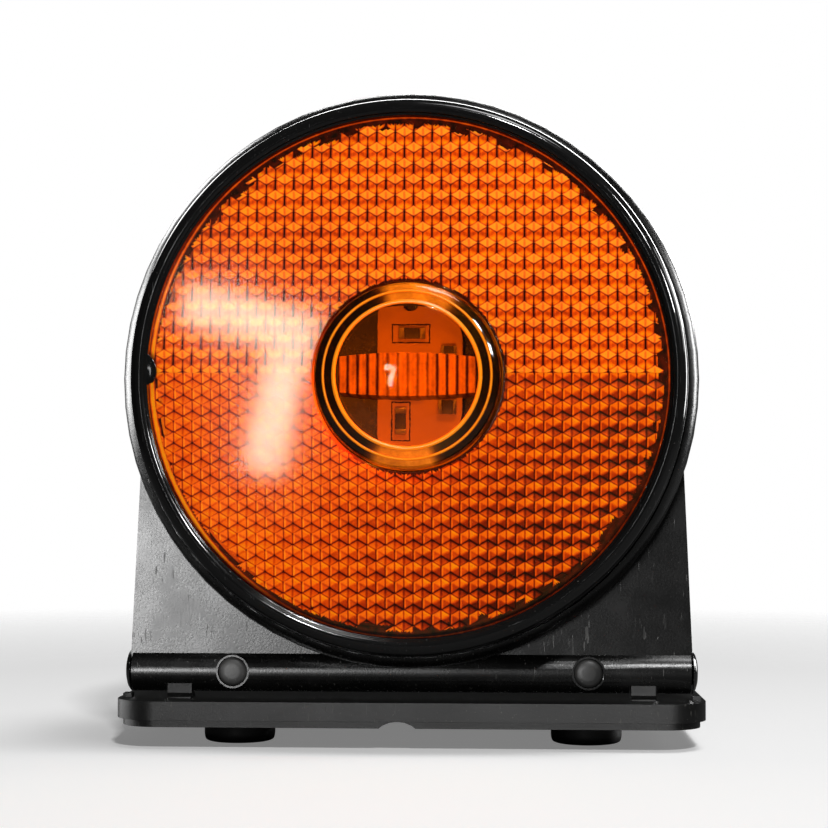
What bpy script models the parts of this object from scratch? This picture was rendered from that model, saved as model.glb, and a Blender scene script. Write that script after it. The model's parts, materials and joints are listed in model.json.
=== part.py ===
"""Battery warning light: a round amber reflector with an LED marker, on a tilting foot plate.

Metres, +Z up. The light faces -Y, and the origin is under the middle of its foot plate. "depth" is
a distance behind the reflector's front face.
"""

import math

import bmesh
import bpy
from mathutils import Matrix

# Reflector axis and hinge axis
LENS_Y = -0.0320
LENS_Z = 0.0598
HINGE_DEPTH = 0.0140
HINGE_Y = LENS_Y + HINGE_DEPTH
HINGE_Z = 0.0122

# Foot plate
PLATE_HALF_WIDTH = 0.04815
PLATE_HALF_DEPTH = 0.0313
PLATE_Y = 0.0053
PLATE_BOTTOM = 0.00465
PLATE_TOP = 0.0077
PLATE_CORNER = 0.0070
SKIRT_BOTTOM = 0.0035
SKIRT_INSET = 0.0009
POCKET_INSET = 0.0029
POCKET_TOP = 0.0057
RIB_BOTTOM = 0.0040
RIB_THICK = 0.0014
FOOT_X = 0.0290
FOOT_YS = {"front": -0.0120, "rear": 0.0220}
FOOT_RADIUS = 0.0059
FOOT_HEIGHT = 0.0034
FOOT_BOSS_RADIUS = 0.0074
FOOT_STEM_RADIUS = 0.0022
BOLT_SLOT_X = 0.0100
BOLT_SLOT_Y = 0.0240
BOLT_SLOT_HALF = (0.0045, 0.0026)
BOLT_PAD_HALF = (0.0070, 0.0050)
NOTCH_X = -0.0019
NOTCH_RADIUS = 0.0047
NOTCH_RISE = 0.0011
NOTCH_LENGTH = 0.0060
PAST = 0.001
RIB_FRONT = -0.0235
RIB_REAR = 0.0335
RIB_SIDE = 0.0460
MIDDLE_RIB_X = 0.0180
FOOT_SOCKET_TOP = PLATE_TOP - 0.0012
FOOT_STEM_TOP = PLATE_TOP - 0.0015
FOOT_BOSS_INSET = 0.0002
BOLT_PAD_CORNER = 0.002
NIB_X = 0.0467
NIB_HALF = (0.0007, 0.0012)

# Hinge
BARREL_RADIUS = 0.0035
BARREL_HALF_LENGTH = 0.04565
ROD_RADIUS = 0.0011
ROD_HALF_LENGTH = 0.0423
BORE_RADIUS = 0.0014
EAR_X = 0.0380
EAR_WIDTH = 0.0040
EAR_RADIUS = 0.0024
EAR_STEM_HALF = 0.0014
EAR_FOOT_HALF = 0.0024
EAR_FOOT_TOP = 0.0002
EAR_WAIST = 0.0008
EAR_STEM_PAST = 0.0006
EAR_CLEARANCE = 0.00035
FAN_RADIUS = 0.0052
TILT_FORWARD = math.radians(20)
TILT_BACK = math.radians(30)
CAP_END = 0.0469
CAP_STEM_RADIUS = 0.0020
CAP_STEM_END = 0.0430
PLUG_X = 0.0290
PLUG_RADIUS = 0.00212
PLUG_DEPTHS = (0.01015, 0.01255)

# Housing
RIM_RADIUS = 0.0467
RIM_FRONT = 0.0043
ARCH_RADIUS = 0.04395
SIDE_TAPER = 0.0442
WALL = 0.0022
BLOCK_FRONT = 0.0120
BLOCK_REAR = 0.0354
BLOCK_BOTTOM = 0.0142
SLOPE_START = 0.0200
SLOPE_END_Z = 0.0250
RIM_REAR = BLOCK_FRONT + WALL - 0.0002
LENS_SEAT_RADIUS = 0.04295
BEZEL_SEAT_RADIUS = 0.04485
BEZEL_SEAT_DEPTH = 0.0069
WIRE_HOLE_RADIUS = 0.0040
POST_RADIUS = 0.0032
POST_END = 0.0350
SCREW_PLACES = ((0.0403, 0.0300), (0.0283, 0.0872))
PILOT_RADIUS = 0.0015
PILOT_DEPTH = 0.0320
PILOT_LENGTH = 0.0120
BOARD_POST_X = 0.0190
BOARD_POST_RADIUS = 0.0020
BOARD_POST_DEPTH = 0.01685
BOARD_POST_LENGTH = 0.0057
REST_X = 0.0240
REST_HALF = 0.0010
REST_DEPTH = 0.0140
REST_ZS = (0.0360, 0.0600)

# Rear cover
GASKET_DEPTHS = (0.0357, 0.0367)
GASKET_INSET = 0.0001
GASKET_LIP = 0.0002
GASKET_FLOOR = 0.0027
COVER_DEPTHS = (0.0370, 0.0395)
BUTTON_Z = 0.0810
BUTTON_RADIUS = 0.0055

# Marker lamp
DOME_RADIUS = 0.0148
FLANGE_RADIUS = 0.0174
CUP_RADIUS = 0.0154
CUP_DEPTHS = (0.0042, 0.0117)
CUP_FLOOR = 0.0102
BOARD_DEPTHS = (0.0083, 0.0099)
BOARD_SIDES = (-0.0053, 0.0084)
BOARD_HALF_HEIGHT = 0.0122
BOARD_NOTCH = 0.0012
FLUTES = 14
FLUTE_PITCH = 0.00155
FLUTE_DEPTH = 0.0004
BAND_HALF_HEIGHT = 0.0036
BAND_DEPTHS = (-0.0018, 0.0010)
BAND_LEG = 0.0012

# Power
CELL_RADIUS = 0.0072
CELL_BODY = 0.0493
CELL_NUB_RADIUS = 0.0027
CELL_NUB = 0.0012
CELL_DEPTH = 0.0260
CELL_ZS = {"upper": 0.0555, "lower": 0.0405}
HOLDER_HALF_WIDTH = 0.0300
HOLDER_DEPTHS = (0.0170, 0.0332)
HOLDER_ZS = (0.0316, 0.0644)
HOLDER_WALL = 0.0014
CONTACT_THICK = 0.0004
CONTACT_REACH = 0.0045
SPRING_RADIUS = 0.0032
SPRING_WIRE = 0.0004
SPRING_TURNS = 3
DRIVER_DEPTHS = (0.0200, 0.0216)
DRIVER_HALF = (0.0220, 0.0100)
CHIP_XS = (-0.0150, -0.0100)
CHIP_HALF_HEIGHT = 0.0020
CHIP_THICK = 0.0015
SWITCH_DEPTHS = (0.0219, 0.0300)
SWITCH_HALF = 0.0060

GAP = 0.0003
OVERLAP = 0.0004
SHARP_ANGLE = math.radians(35)
MERGE = 0.00001
FILL_SCALE = 1000

ALONG_X = (0, math.radians(90), 0)
TO_FRONT = (math.radians(90), 0, 0)
PROFILE_ALONG_X = (math.radians(90), 0, math.radians(90))
UPRIGHT = (0, 0, 0)

# colour, roughness, metallic
FINISHES = {
    "satin_black": ((0.030, 0.030, 0.029, 1), 0.48, 0),
    "gloss_black": ((0.006, 0.006, 0.006, 1), 0.08, 0),
    "rubber": ((0.014, 0.014, 0.014, 1), 0.75, 0),
    "reflector_orange": ((0.95, 0.21, 0.008, 1), 0.12, 0),
    "clear_amber": ((0.90, 0.27, 0.02, 1), 0.06, 0),
    "steel": ((0.62, 0.61, 0.59, 1), 0.30, 1),
    "solder_mask": ((0.83, 0.82, 0.76, 1), 0.40, 0),
    "chip_black": ((0.020, 0.019, 0.018, 1), 0.50, 0),
    "led_yellow": ((0.85, 0.72, 0.20, 1), 0.35, 0),
    "cell_wrap": ((0.05, 0.09, 0.16, 1), 0.30, 0),
    "wire_red": ((0.55, 0.03, 0.02, 1), 0.45, 0),
    "wire_black": ((0.02, 0.02, 0.02, 1), 0.45, 0),
    "button_grey": ((0.10, 0.10, 0.10, 1), 0.55, 0),
}


# Scene and helpers


def clear_scene():
    for obj in list(bpy.data.objects):
        bpy.data.objects.remove(obj)


def make_collection(name):
    collection = bpy.data.collections.new(name)
    bpy.context.scene.collection.children.link(collection)
    return collection


def make_finish(name):
    colour, roughness, metallic = FINISHES[name]
    material = bpy.data.materials.new(name)
    material.use_nodes = True
    shader = material.node_tree.nodes["Principled BSDF"]
    shader.inputs["Base Color"].default_value = colour
    shader.inputs["Roughness"].default_value = roughness
    shader.inputs["Metallic"].default_value = metallic
    return material


clear_scene()
PARTS = make_collection("warning_light")
CUTTERS = make_collection("cutters")
MATERIALS = {name: make_finish(name) for name in FINISHES}


def add_object(name, mesh, finish, location, rotation):
    """A part with its finish, or a helper for a Boolean where finish is None."""
    obj = bpy.data.objects.new(name, mesh)
    obj.location = location
    obj.rotation_euler = rotation
    mesh.shade_smooth()
    mesh.set_sharp_from_angle(angle=SHARP_ANGLE)
    if finish:
        mesh.materials.clear()
        mesh.materials.append(MATERIALS[finish])
        PARTS.objects.link(obj)
    else:
        CUTTERS.objects.link(obj)
        obj.hide_render = True
        obj.display_type = "WIRE"
    return obj


def evaluated_mesh(obj):
    """The object's mesh with its modifiers or curve settings applied; the object itself is removed."""
    bpy.context.scene.collection.objects.link(obj)
    bpy.context.view_layer.update()
    graph = bpy.context.evaluated_depsgraph_get()
    mesh = bpy.data.meshes.new_from_object(obj.evaluated_get(graph))
    bpy.data.objects.remove(obj)
    return mesh


def weld(mesh):
    work = bmesh.new()
    work.from_mesh(mesh)
    bmesh.ops.remove_doubles(work, verts=work.verts, dist=MERGE)
    work.to_mesh(mesh)
    work.free()


def box(name, low, high, finish=None):
    work = bmesh.new()
    bmesh.ops.create_cube(work, size=1)
    size = [b - a for a, b in zip(low, high)]
    bmesh.ops.scale(work, vec=size, verts=work.verts)
    mesh = bpy.data.meshes.new(name)
    work.to_mesh(mesh)
    work.free()
    middle = [(a + b) / 2 for a, b in zip(low, high)]
    return add_object(name, mesh, finish, middle, UPRIGHT)


def cylinder(name, radius, length, middle, rotation, finish=None, segments=24):
    work = bmesh.new()
    bmesh.ops.create_cone(
        work, cap_ends=True, segments=segments, radius1=radius, radius2=radius, depth=length
    )
    mesh = bpy.data.meshes.new(name)
    work.to_mesh(mesh)
    work.free()
    return add_object(name, mesh, finish, middle, rotation)


def turned(name, profile, location, rotation, finish, steps, closed=False):
    """A profile of (radius, height) points, from the top down its outer side, turned about local Z."""
    guide = bpy.data.meshes.new(name)
    edges = [(i, i + 1) for i in range(len(profile) - 1)]
    if closed:
        edges.append((len(profile) - 1, 0))
    guide.from_pydata([(radius, 0, height) for radius, height in profile], edges, [])
    obj = bpy.data.objects.new(name, guide)
    screw = obj.modifiers.new("Screw", "SCREW")
    screw.steps = steps
    screw.render_steps = steps
    screw.use_merge_vertices = True
    screw.merge_threshold = MERGE
    return add_object(name, evaluated_mesh(obj), finish, location, rotation)


def lens_turned(name, profile, finish, steps, closed=False):
    """A piece turned about the reflector's axis, from (radius, depth) points."""
    flipped = [(radius, -depth) for radius, depth in profile]
    return turned(name, flipped, (0, LENS_Y, LENS_Z), TO_FRONT, finish, steps, closed)


def outline(name, points, thickness, location, rotation, finish=None):
    """A flat outline, thickened evenly to both sides of its plane.

    The curve is filled at FILL_SCALE times its size, because a fill drops very fine detail.
    """
    curve = bpy.data.curves.new(name, "CURVE")
    curve.dimensions = "2D"
    curve.fill_mode = "BOTH"
    curve.extrude = FILL_SCALE * thickness / 2
    spline = curve.splines.new("POLY")
    spline.points.add(len(points) - 1)
    for point, (across, up) in zip(spline.points, points):
        point.co = (FILL_SCALE * across, FILL_SCALE * up, 0, 1)
    spline.use_cyclic_u = True
    mesh = evaluated_mesh(bpy.data.objects.new(name, curve))
    mesh.transform(Matrix.Scale(1 / FILL_SCALE, 4))
    weld(mesh)
    return add_object(name, mesh, finish, location, rotation)


def front_outline(name, points, depths, finish=None):
    """An outline of (x, z) points between two depths behind the reflector's face."""
    middle = LENS_Y + (depths[0] + depths[1]) / 2
    return outline(name, points, depths[1] - depths[0], (0, middle, 0), TO_FRONT, finish)


def side_outline(name, points, x_low, x_high, finish=None):
    """An outline of (y, z) points between two places across."""
    middle = ((x_low + x_high) / 2, 0, 0)
    return outline(name, points, x_high - x_low, middle, PROFILE_ALONG_X, finish)


def plan_outline(name, points, z_low, z_high, finish=None):
    """An outline of (x, y) points between two heights."""
    return outline(name, points, z_high - z_low, (0, 0, (z_low + z_high) / 2), UPRIGHT, finish)


def wire(name, points, radius, finish):
    curve = bpy.data.curves.new(name, "CURVE")
    curve.dimensions = "3D"
    curve.bevel_depth = radius
    curve.bevel_resolution = 2
    curve.use_fill_caps = True
    spline = curve.splines.new("POLY")
    spline.points.add(len(points) - 1)
    for point, place in zip(spline.points, points):
        point.co = (*place, 1)
    mesh = evaluated_mesh(bpy.data.objects.new(name, curve))
    weld(mesh)
    return add_object(name, mesh, finish, (0, 0, 0), UPRIGHT)


def combine(target, operation, helpers):
    for helper in helpers:
        modifier = target.modifiers.new(helper.name, "BOOLEAN")
        modifier.operation = operation
        modifier.solver = "EXACT"
        modifier.object = helper


def at_depth(depth):
    return LENS_Y + depth


def arc(centre, radius, start, end, steps):
    """Points on an arc, angles in degrees, counted anticlockwise from the first axis."""
    angles = [math.radians(start + (end - start) * i / steps) for i in range(steps + 1)]
    return [
        (centre[0] + radius * math.cos(angle), centre[1] + radius * math.sin(angle))
        for angle in angles
    ]


def rounded_rectangle(middle, half, corner, steps=6):
    x, y = half[0] - corner, half[1] - corner
    places = ((x, y), (-x, y), (-x, -y), (x, -y))
    points = []
    for turn, (dx, dy) in enumerate(places):
        centre = (middle[0] + dx, middle[1] + dy)
        points += arc(centre, corner, 90 * turn, 90 * turn + 90, steps)
    return points


def arch(inset, bottom):
    """The housing's outline: half round on top, with straight sides that spread downwards."""
    spread = ARCH_RADIUS - inset + (LENS_Z - bottom) * SIDE_TAPER
    top = arc((0, LENS_Z), ARCH_RADIUS - inset, 0, 180, 36)
    return [*top, (-spread, bottom), (spread, bottom)]


# Foot plate


def make_ear(side):
    x_low = side * EAR_X - EAR_WIDTH / 2
    x_high = side * EAR_X + EAR_WIDTH / 2
    tag = "left" if side < 0 else "right"
    ring = cylinder(
        f"ear_ring_{tag}", EAR_RADIUS, EAR_WIDTH, (side * EAR_X, HINGE_Y, HINGE_Z), ALONG_X
    )
    waist = PLATE_TOP + EAR_WAIST
    half = [
        (EAR_FOOT_HALF, PLATE_TOP - OVERLAP),
        (EAR_FOOT_HALF, PLATE_TOP + EAR_FOOT_TOP),
        (EAR_STEM_HALF, waist),
        (EAR_STEM_HALF, HINGE_Z + EAR_STEM_PAST),
    ]
    points = [(HINGE_Y + y, z) for y, z in half]
    points += [(HINGE_Y - y, z) for y, z in reversed(half)]
    stem = side_outline(f"ear_stem_{tag}", points, x_low, x_high)
    nib_x, nib_y = NIB_HALF
    nib = box(
        f"end_nib_{tag}",
        (side * NIB_X - nib_x, HINGE_Y - nib_y, PLATE_TOP - OVERLAP),
        (side * NIB_X + nib_x, HINGE_Y + nib_y, HINGE_Z - BARREL_RADIUS - GAP),
    )
    return [ring, stem, nib]


def make_rib(name, low, high):
    return box(name, (*low, RIB_BOTTOM), (*high, POCKET_TOP + OVERLAP))


def make_base_plate():
    middle = (0, PLATE_Y)
    edge = (PLATE_HALF_WIDTH, PLATE_HALF_DEPTH)
    plate = plan_outline(
        "base_plate",
        rounded_rectangle(middle, edge, PLATE_CORNER, 8),
        PLATE_BOTTOM,
        PLATE_TOP,
        "satin_black",
    )
    skirt_edge = [half - SKIRT_INSET for half in edge]
    skirt = plan_outline(
        "skirt",
        rounded_rectangle(middle, skirt_edge, PLATE_CORNER - SKIRT_INSET, 8),
        SKIRT_BOTTOM,
        PLATE_BOTTOM + OVERLAP,
    )
    pocket_edge = [half - POCKET_INSET for half in edge]
    pocket = plan_outline(
        "underside_pocket",
        rounded_rectangle(middle, pocket_edge, PLATE_CORNER - POCKET_INSET, 4),
        SKIRT_BOTTOM - PAST,
        POCKET_TOP,
    )
    combine(plate, "UNION", [skirt])
    combine(plate, "DIFFERENCE", [pocket])

    added = []
    removed = []
    for row, y in FOOT_YS.items():
        for side in (-1, 1):
            tag = f"{row}_{'left' if side < 0 else 'right'}"
            low = SKIRT_BOTTOM + FOOT_BOSS_INSET
            high = POCKET_TOP + OVERLAP
            place = (side * FOOT_X, y, (low + high) / 2)
            added.append(
                cylinder(f"foot_boss_{tag}", FOOT_BOSS_RADIUS, high - low, place, UPRIGHT)
            )
            socket = cylinder(
                f"foot_socket_{tag}",
                FOOT_STEM_RADIUS + GAP,
                FOOT_SOCKET_TOP,
                (side * FOOT_X, y, FOOT_SOCKET_TOP / 2),
                UPRIGHT,
                segments=16,
            )
            removed.append(socket)
    for side in (-1, 1):
        tag = "left" if side < 0 else "right"
        slot_middle = (side * BOLT_SLOT_X, BOLT_SLOT_Y)
        pad = rounded_rectangle(slot_middle, BOLT_PAD_HALF, BOLT_PAD_CORNER, 3)
        added.append(plan_outline(f"bolt_pad_{tag}", pad, SKIRT_BOTTOM, POCKET_TOP + OVERLAP))
        slot = rounded_rectangle(slot_middle, BOLT_SLOT_HALF, BOLT_SLOT_HALF[1] - 0.00001, 6)
        removed.append(plan_outline(f"bolt_slot_{tag}", slot, 0, PLATE_TOP + PAST))
        for place, across in (("long", MIDDLE_RIB_X), ("ear", EAR_X)):
            low = (side * across - RIB_THICK / 2, RIB_FRONT)
            high = (side * across + RIB_THICK / 2, RIB_REAR)
            added.append(make_rib(f"{place}_rib_{tag}", low, high))
        added += make_ear(side)
    low = (-RIB_SIDE, PLATE_Y - RIB_THICK / 2)
    high = (RIB_SIDE, PLATE_Y + RIB_THICK / 2)
    added.append(make_rib("cross_rib", low, high))
    combine(plate, "UNION", added)

    notch = cylinder(
        "skirt_notch",
        NOTCH_RADIUS,
        NOTCH_LENGTH,
        (NOTCH_X, PLATE_Y - PLATE_HALF_DEPTH + PAST, SKIRT_BOTTOM + NOTCH_RISE - NOTCH_RADIUS),
        TO_FRONT,
    )
    centre = (0, HINGE_Y, HINGE_Z)
    bore = cylinder("ear_bore", BORE_RADIUS, 2 * BARREL_HALF_LENGTH, centre, ALONG_X, segments=16)
    combine(plate, "DIFFERENCE", [*removed, notch, bore])


def make_feet():
    profile = [
        (0, FOOT_STEM_TOP),
        (FOOT_STEM_RADIUS, FOOT_STEM_TOP),
        (FOOT_STEM_RADIUS, FOOT_HEIGHT),
        (FOOT_RADIUS, FOOT_HEIGHT),
        (FOOT_RADIUS, 0.0009),
        (FOOT_RADIUS - 0.0003, 0.0003),
        (FOOT_RADIUS - 0.0009, 0),
        (0, 0),
    ]
    for row, y in FOOT_YS.items():
        for side, tag in ((-1, "left"), (1, "right")):
            name = f"rubber_foot_{row}_{tag}"
            turned(name, profile, (side * FOOT_X, y, 0), UPRIGHT, "rubber", 20)


# Hinge


def make_hinge():
    cylinder(
        "hinge_rod",
        ROD_RADIUS,
        2 * ROD_HALF_LENGTH,
        (0, HINGE_Y, HINGE_Z),
        ALONG_X,
        "steel",
        segments=16,
    )
    seat = BARREL_HALF_LENGTH + GAP
    cap = [
        (0, CAP_END),
        (0.0018, CAP_END - 0.0001),
        (0.0028, CAP_END - 0.00035),
        (BARREL_RADIUS, seat + 0.0001),
        (BARREL_RADIUS, seat),
        (CAP_STEM_RADIUS, seat),
        (CAP_STEM_RADIUS, CAP_STEM_END),
        (0, CAP_STEM_END),
    ]
    plug_front, plug_back = PLUG_DEPTHS
    plug = [
        (0, -plug_front),
        (PLUG_RADIUS - 0.00015, -plug_front),
        (PLUG_RADIUS, -plug_front - 0.00015),
        (PLUG_RADIUS, -plug_back),
        (0, -plug_back),
    ]
    for side, tag in ((-1, "left"), (1, "right")):
        outward = (0, side * math.radians(90), 0)
        turned(f"hinge_cap_{tag}", cap, (0, HINGE_Y, HINGE_Z), outward, "satin_black", 20)
        place = (side * PLUG_X, LENS_Y, HINGE_Z)
        turned(f"friction_plug_{tag}", plug, place, TO_FRONT, "satin_black", 20)


# Housing


def make_slope(name, lift, floor_z):
    """Everything under the housing's sloping underside, raised by lift."""
    rise = (SLOPE_END_Z - BLOCK_BOTTOM) / (BLOCK_REAR - SLOPE_START)
    start = SLOPE_START + (floor_z - BLOCK_BOTTOM - lift) / rise
    end = BLOCK_REAR + 0.010
    end_z = BLOCK_BOTTOM + lift + (end - SLOPE_START) * rise
    points = [
        (at_depth(start), 0),
        (at_depth(end), 0),
        (at_depth(end), end_z),
        (at_depth(start), floor_z),
    ]
    return side_outline(name, points, -0.060, 0.060)


def make_ear_slot(side):
    """Room for an ear round the rod, and for its stem as the housing tilts both ways."""
    tag = "left" if side < 0 else "right"
    half = EAR_WIDTH / 2 + GAP
    x_low = side * EAR_X - half
    x_high = side * EAR_X + half
    clear = EAR_RADIUS + EAR_CLEARANCE
    stem = math.asin(EAR_STEM_HALF / clear) + math.radians(4)
    front = -90 - math.degrees(TILT_FORWARD + stem)
    back = -90 + math.degrees(TILT_BACK + stem)
    centre = (HINGE_Y, HINGE_Z)
    fan = side_outline(
        f"ear_fan_{tag}", [centre, *arc(centre, FAN_RADIUS, front, back, 8)], x_low, x_high
    )
    room = cylinder(
        f"ear_room_{tag}", clear, 2 * half, (side * EAR_X, HINGE_Y, HINGE_Z), ALONG_X
    )
    return [fan, room]


def make_housing():
    rim = [
        (0, RIM_FRONT),
        (BEZEL_SEAT_RADIUS, RIM_FRONT),
        (RIM_RADIUS - 0.0012, 0.0048),
        (RIM_RADIUS - 0.00045, 0.0060),
        (RIM_RADIUS, 0.0080),
        (RIM_RADIUS, 0.0126),
        (RIM_RADIUS - 0.0006, RIM_REAR),
        (0, RIM_REAR),
    ]
    housing = lens_turned("housing_shell", rim, "satin_black", 64)

    block = front_outline("block", arch(0, BLOCK_BOTTOM), (BLOCK_FRONT, BLOCK_REAR))
    combine(block, "DIFFERENCE", [make_slope("block_underside", 0, BLOCK_BOTTOM)])
    inside = front_outline(
        "inside", arch(WALL, BLOCK_BOTTOM + WALL), (BLOCK_FRONT + WALL, BLOCK_REAR + 0.002)
    )
    slope = math.atan2(SLOPE_END_Z - BLOCK_BOTTOM, BLOCK_REAR - SLOPE_START)
    floor = make_slope("inside_underside", WALL / math.cos(slope), BLOCK_BOTTOM + WALL)
    combine(inside, "DIFFERENCE", [floor])
    combine(block, "DIFFERENCE", [inside])
    seat_profile = [
        (0, RIM_FRONT - 0.001),
        (BEZEL_SEAT_RADIUS, RIM_FRONT - 0.001),
        (BEZEL_SEAT_RADIUS, BEZEL_SEAT_DEPTH),
        (LENS_SEAT_RADIUS, BEZEL_SEAT_DEPTH),
        (LENS_SEAT_RADIUS, BLOCK_FRONT),
        (0, BLOCK_FRONT),
    ]
    seat = lens_turned("lens_seat", seat_profile, None, 48)
    wire_hole = cylinder(
        "wire_hole", WIRE_HOLE_RADIUS, 0.0100, (0, at_depth(BLOCK_FRONT), LENS_Z), TO_FRONT
    )

    barrel = cylinder(
        "barrel",
        BARREL_RADIUS,
        2 * BARREL_HALF_LENGTH,
        (0, HINGE_Y, HINGE_Z),
        ALONG_X,
        segments=32,
    )
    added = [block, barrel]
    rod_bore = cylinder("rod_bore", BORE_RADIUS, 0.100, (0, HINGE_Y, HINGE_Z), ALONG_X, segments=16)
    removed = [seat, wire_hole, rod_bore]
    for side, tag in ((-1, "left"), (1, "right")):
        boss_depth = (PLUG_DEPTHS[0] + 0.0003, HINGE_DEPTH)
        added.append(
            cylinder(
                f"plug_boss_{tag}",
                PLUG_RADIUS + 0.0006,
                boss_depth[1] - boss_depth[0],
                (side * PLUG_X, at_depth(sum(boss_depth) / 2), HINGE_Z),
                TO_FRONT,
            )
        )
        removed.append(
            cylinder(
                f"plug_hole_{tag}",
                PLUG_RADIUS + GAP,
                0.0060,
                (side * PLUG_X, at_depth(PLUG_DEPTHS[1] + GAP - 0.0030), HINGE_Z),
                TO_FRONT,
            )
        )
        cap_bore = CAP_STEM_END - GAP
        removed.append(
            cylinder(
                f"cap_bore_{tag}",
                CAP_STEM_RADIUS + GAP,
                0.0100,
                (side * (cap_bore + 0.0050), HINGE_Y, HINGE_Z),
                ALONG_X,
            )
        )
        removed += make_ear_slot(side)
        added.append(
            cylinder(
                f"board_post_{tag}",
                BOARD_POST_RADIUS,
                BOARD_POST_LENGTH,
                (side * BOARD_POST_X, at_depth(BOARD_POST_DEPTH), BUTTON_Z),
                TO_FRONT,
                segments=12,
            )
        )
        added.append(
            box(
                f"holder_rest_{tag}",
                (side * REST_X - REST_HALF, at_depth(REST_DEPTH), REST_ZS[0]),
                (side * REST_X + REST_HALF, at_depth(HOLDER_DEPTHS[0] - GAP), REST_ZS[1]),
            )
        )
        for level, (x, z) in zip(("lower", "upper"), SCREW_PLACES):
            start = BLOCK_FRONT + WALL - OVERLAP
            added.append(
                cylinder(
                    f"screw_post_{level}_{tag}",
                    POST_RADIUS,
                    POST_END - start,
                    (side * x, at_depth((POST_END + start) / 2), z),
                    TO_FRONT,
                    segments=20,
                )
            )
            removed.append(
                cylinder(
                    f"pilot_{level}_{tag}",
                    PILOT_RADIUS,
                    PILOT_LENGTH,
                    (side * x, at_depth(PILOT_DEPTH), z),
                    TO_FRONT,
                    segments=12,
                )
            )
    combine(housing, "UNION", added)
    combine(housing, "DIFFERENCE", removed)


def make_bezel():
    profile = [
        (0.0414, -0.0003),
        (0.0414, -0.00075),
        (0.0421, -0.00135),
        (0.0431, -0.0013),
        (0.04395, -0.0004),
        (0.0444, 0.0016),
        (0.04455, 0.0043),
        (0.04455, 0.0066),
        (0.0427, 0.0066),
        (0.0427, -0.0003),
    ]
    bezel = lens_turned("bezel_ring", profile, "gloss_black", 56, closed=True)
    tab = box(
        "key_tab",
        (-0.0420, at_depth(-0.0008), LENS_Z - 0.0016),
        (-0.0398, at_depth(-0.0003), LENS_Z + 0.0034),
    )
    combine(bezel, "UNION", [tab])


def make_reflector():
    profile = [
        (0.0151, 0),
        (0.0420, 0),
        (0.0423, 0.0003),
        (0.0423, 0.0100),
        (0.0405, 0.0100),
        (0.0405, 0.0020),
        (0.0151, 0.0020),
    ]
    lens_turned("reflector_lens", profile, "reflector_orange", 56, closed=True)
    seal = [(0.0406, 0.0103), (0.0422, 0.0103), (0.0422, 0.0117), (0.0406, 0.0117)]
    lens_turned("reflector_seal", seal, "rubber", 40, closed=True)


# Marker lamp


def make_marker_lens():
    profile = [
        (0, -0.0046),
        (0.0070, -0.0044),
        (0.0115, -0.0040),
        (0.0134, -0.0034),
        (0.0145, -0.0023),
        (DOME_RADIUS, -0.0008),
        (DOME_RADIUS, 0.0023),
        (FLANGE_RADIUS, 0.0023),
        (FLANGE_RADIUS, 0.0039),
        (0.0134, 0.0039),
        (0.0134, -0.0012),
        (0.0124, -0.0024),
        (0.0070, -0.0031),
        (0, -0.0032),
    ]
    lens_turned("marker_lens", profile, "clear_amber", 36)


def make_optic_band():
    """A bar with upright flutes on its front and a leg at each end that stands on the cup's floor."""
    half = FLUTES * FLUTE_PITCH / 2
    front, back = BAND_DEPTHS
    foot = at_depth(CUP_FLOOR - GAP)
    points = [(half, foot)]
    for flute in range(FLUTES):
        start = half - flute * FLUTE_PITCH
        for step in range(4):
            crown = math.sin(math.pi * step / 4) * FLUTE_DEPTH
            points.append((start - step * FLUTE_PITCH / 4, at_depth(front + FLUTE_DEPTH - crown)))
    points += [(-half, at_depth(front + FLUTE_DEPTH)), (-half, foot), (BAND_LEG - half, foot)]
    points += [(BAND_LEG - half, at_depth(back)), (half - BAND_LEG, at_depth(back))]
    points.append((half - BAND_LEG, foot))
    low = LENS_Z - BAND_HALF_HEIGHT
    high = LENS_Z + BAND_HALF_HEIGHT
    plan_outline("optic_band", points, low, high, "clear_amber")


def make_lamp_cup():
    front, back = CUP_DEPTHS
    profile = [
        (WIRE_HOLE_RADIUS, CUP_FLOOR),
        (CUP_RADIUS, CUP_FLOOR),
        (CUP_RADIUS, front),
        (FLANGE_RADIUS, front),
        (FLANGE_RADIUS, back),
        (WIRE_HOLE_RADIUS, back),
    ]
    lens_turned("lamp_cup", profile, "satin_black", 36, closed=True)


def make_led_board():
    left, right = BOARD_SIDES
    top = LENS_Z + BOARD_HALF_HEIGHT
    bottom = LENS_Z - BOARD_HALF_HEIGHT
    points = [(right, bottom), (right, top)]
    points += arc((0, top), BOARD_NOTCH, 0, -180, 8)
    points += [(left, top), (left, bottom)]
    points += arc((0, bottom), BOARD_NOTCH, 180, 0, 8)
    front_outline("led_board", points, BOARD_DEPTHS, "solder_mask")


def make_board_part(name, x, rise, half, height, finish):
    """A small part on the LED board, x across and rise above its middle."""
    back = BOARD_DEPTHS[0] - GAP
    low = (x - half[0], at_depth(back - height), LENS_Z + rise - half[1])
    high = (x + half[0], at_depth(back), LENS_Z + rise + half[1])
    box(name, low, high, finish)


def make_board_parts():
    make_board_part("led_package", 0, 0, (0.0025, 0.0025), 0.0016, "led_yellow")
    make_board_part("resistor_upper", 0.0003, 0.0068, (0.0016, 0.0008), 0.0006, "chip_black")
    make_board_part("resistor_lower", -0.0015, -0.0073, (0.0008, 0.0016), 0.0006, "chip_black")
    make_board_part("board_diode", 0.0062, 0.0047, (0.0012, 0.0006), 0.0009, "chip_black")
    make_board_part("board_capacitor", 0.0060, -0.0045, (0.0014, 0.0011), 0.0011, "chip_black")


# Power


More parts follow.
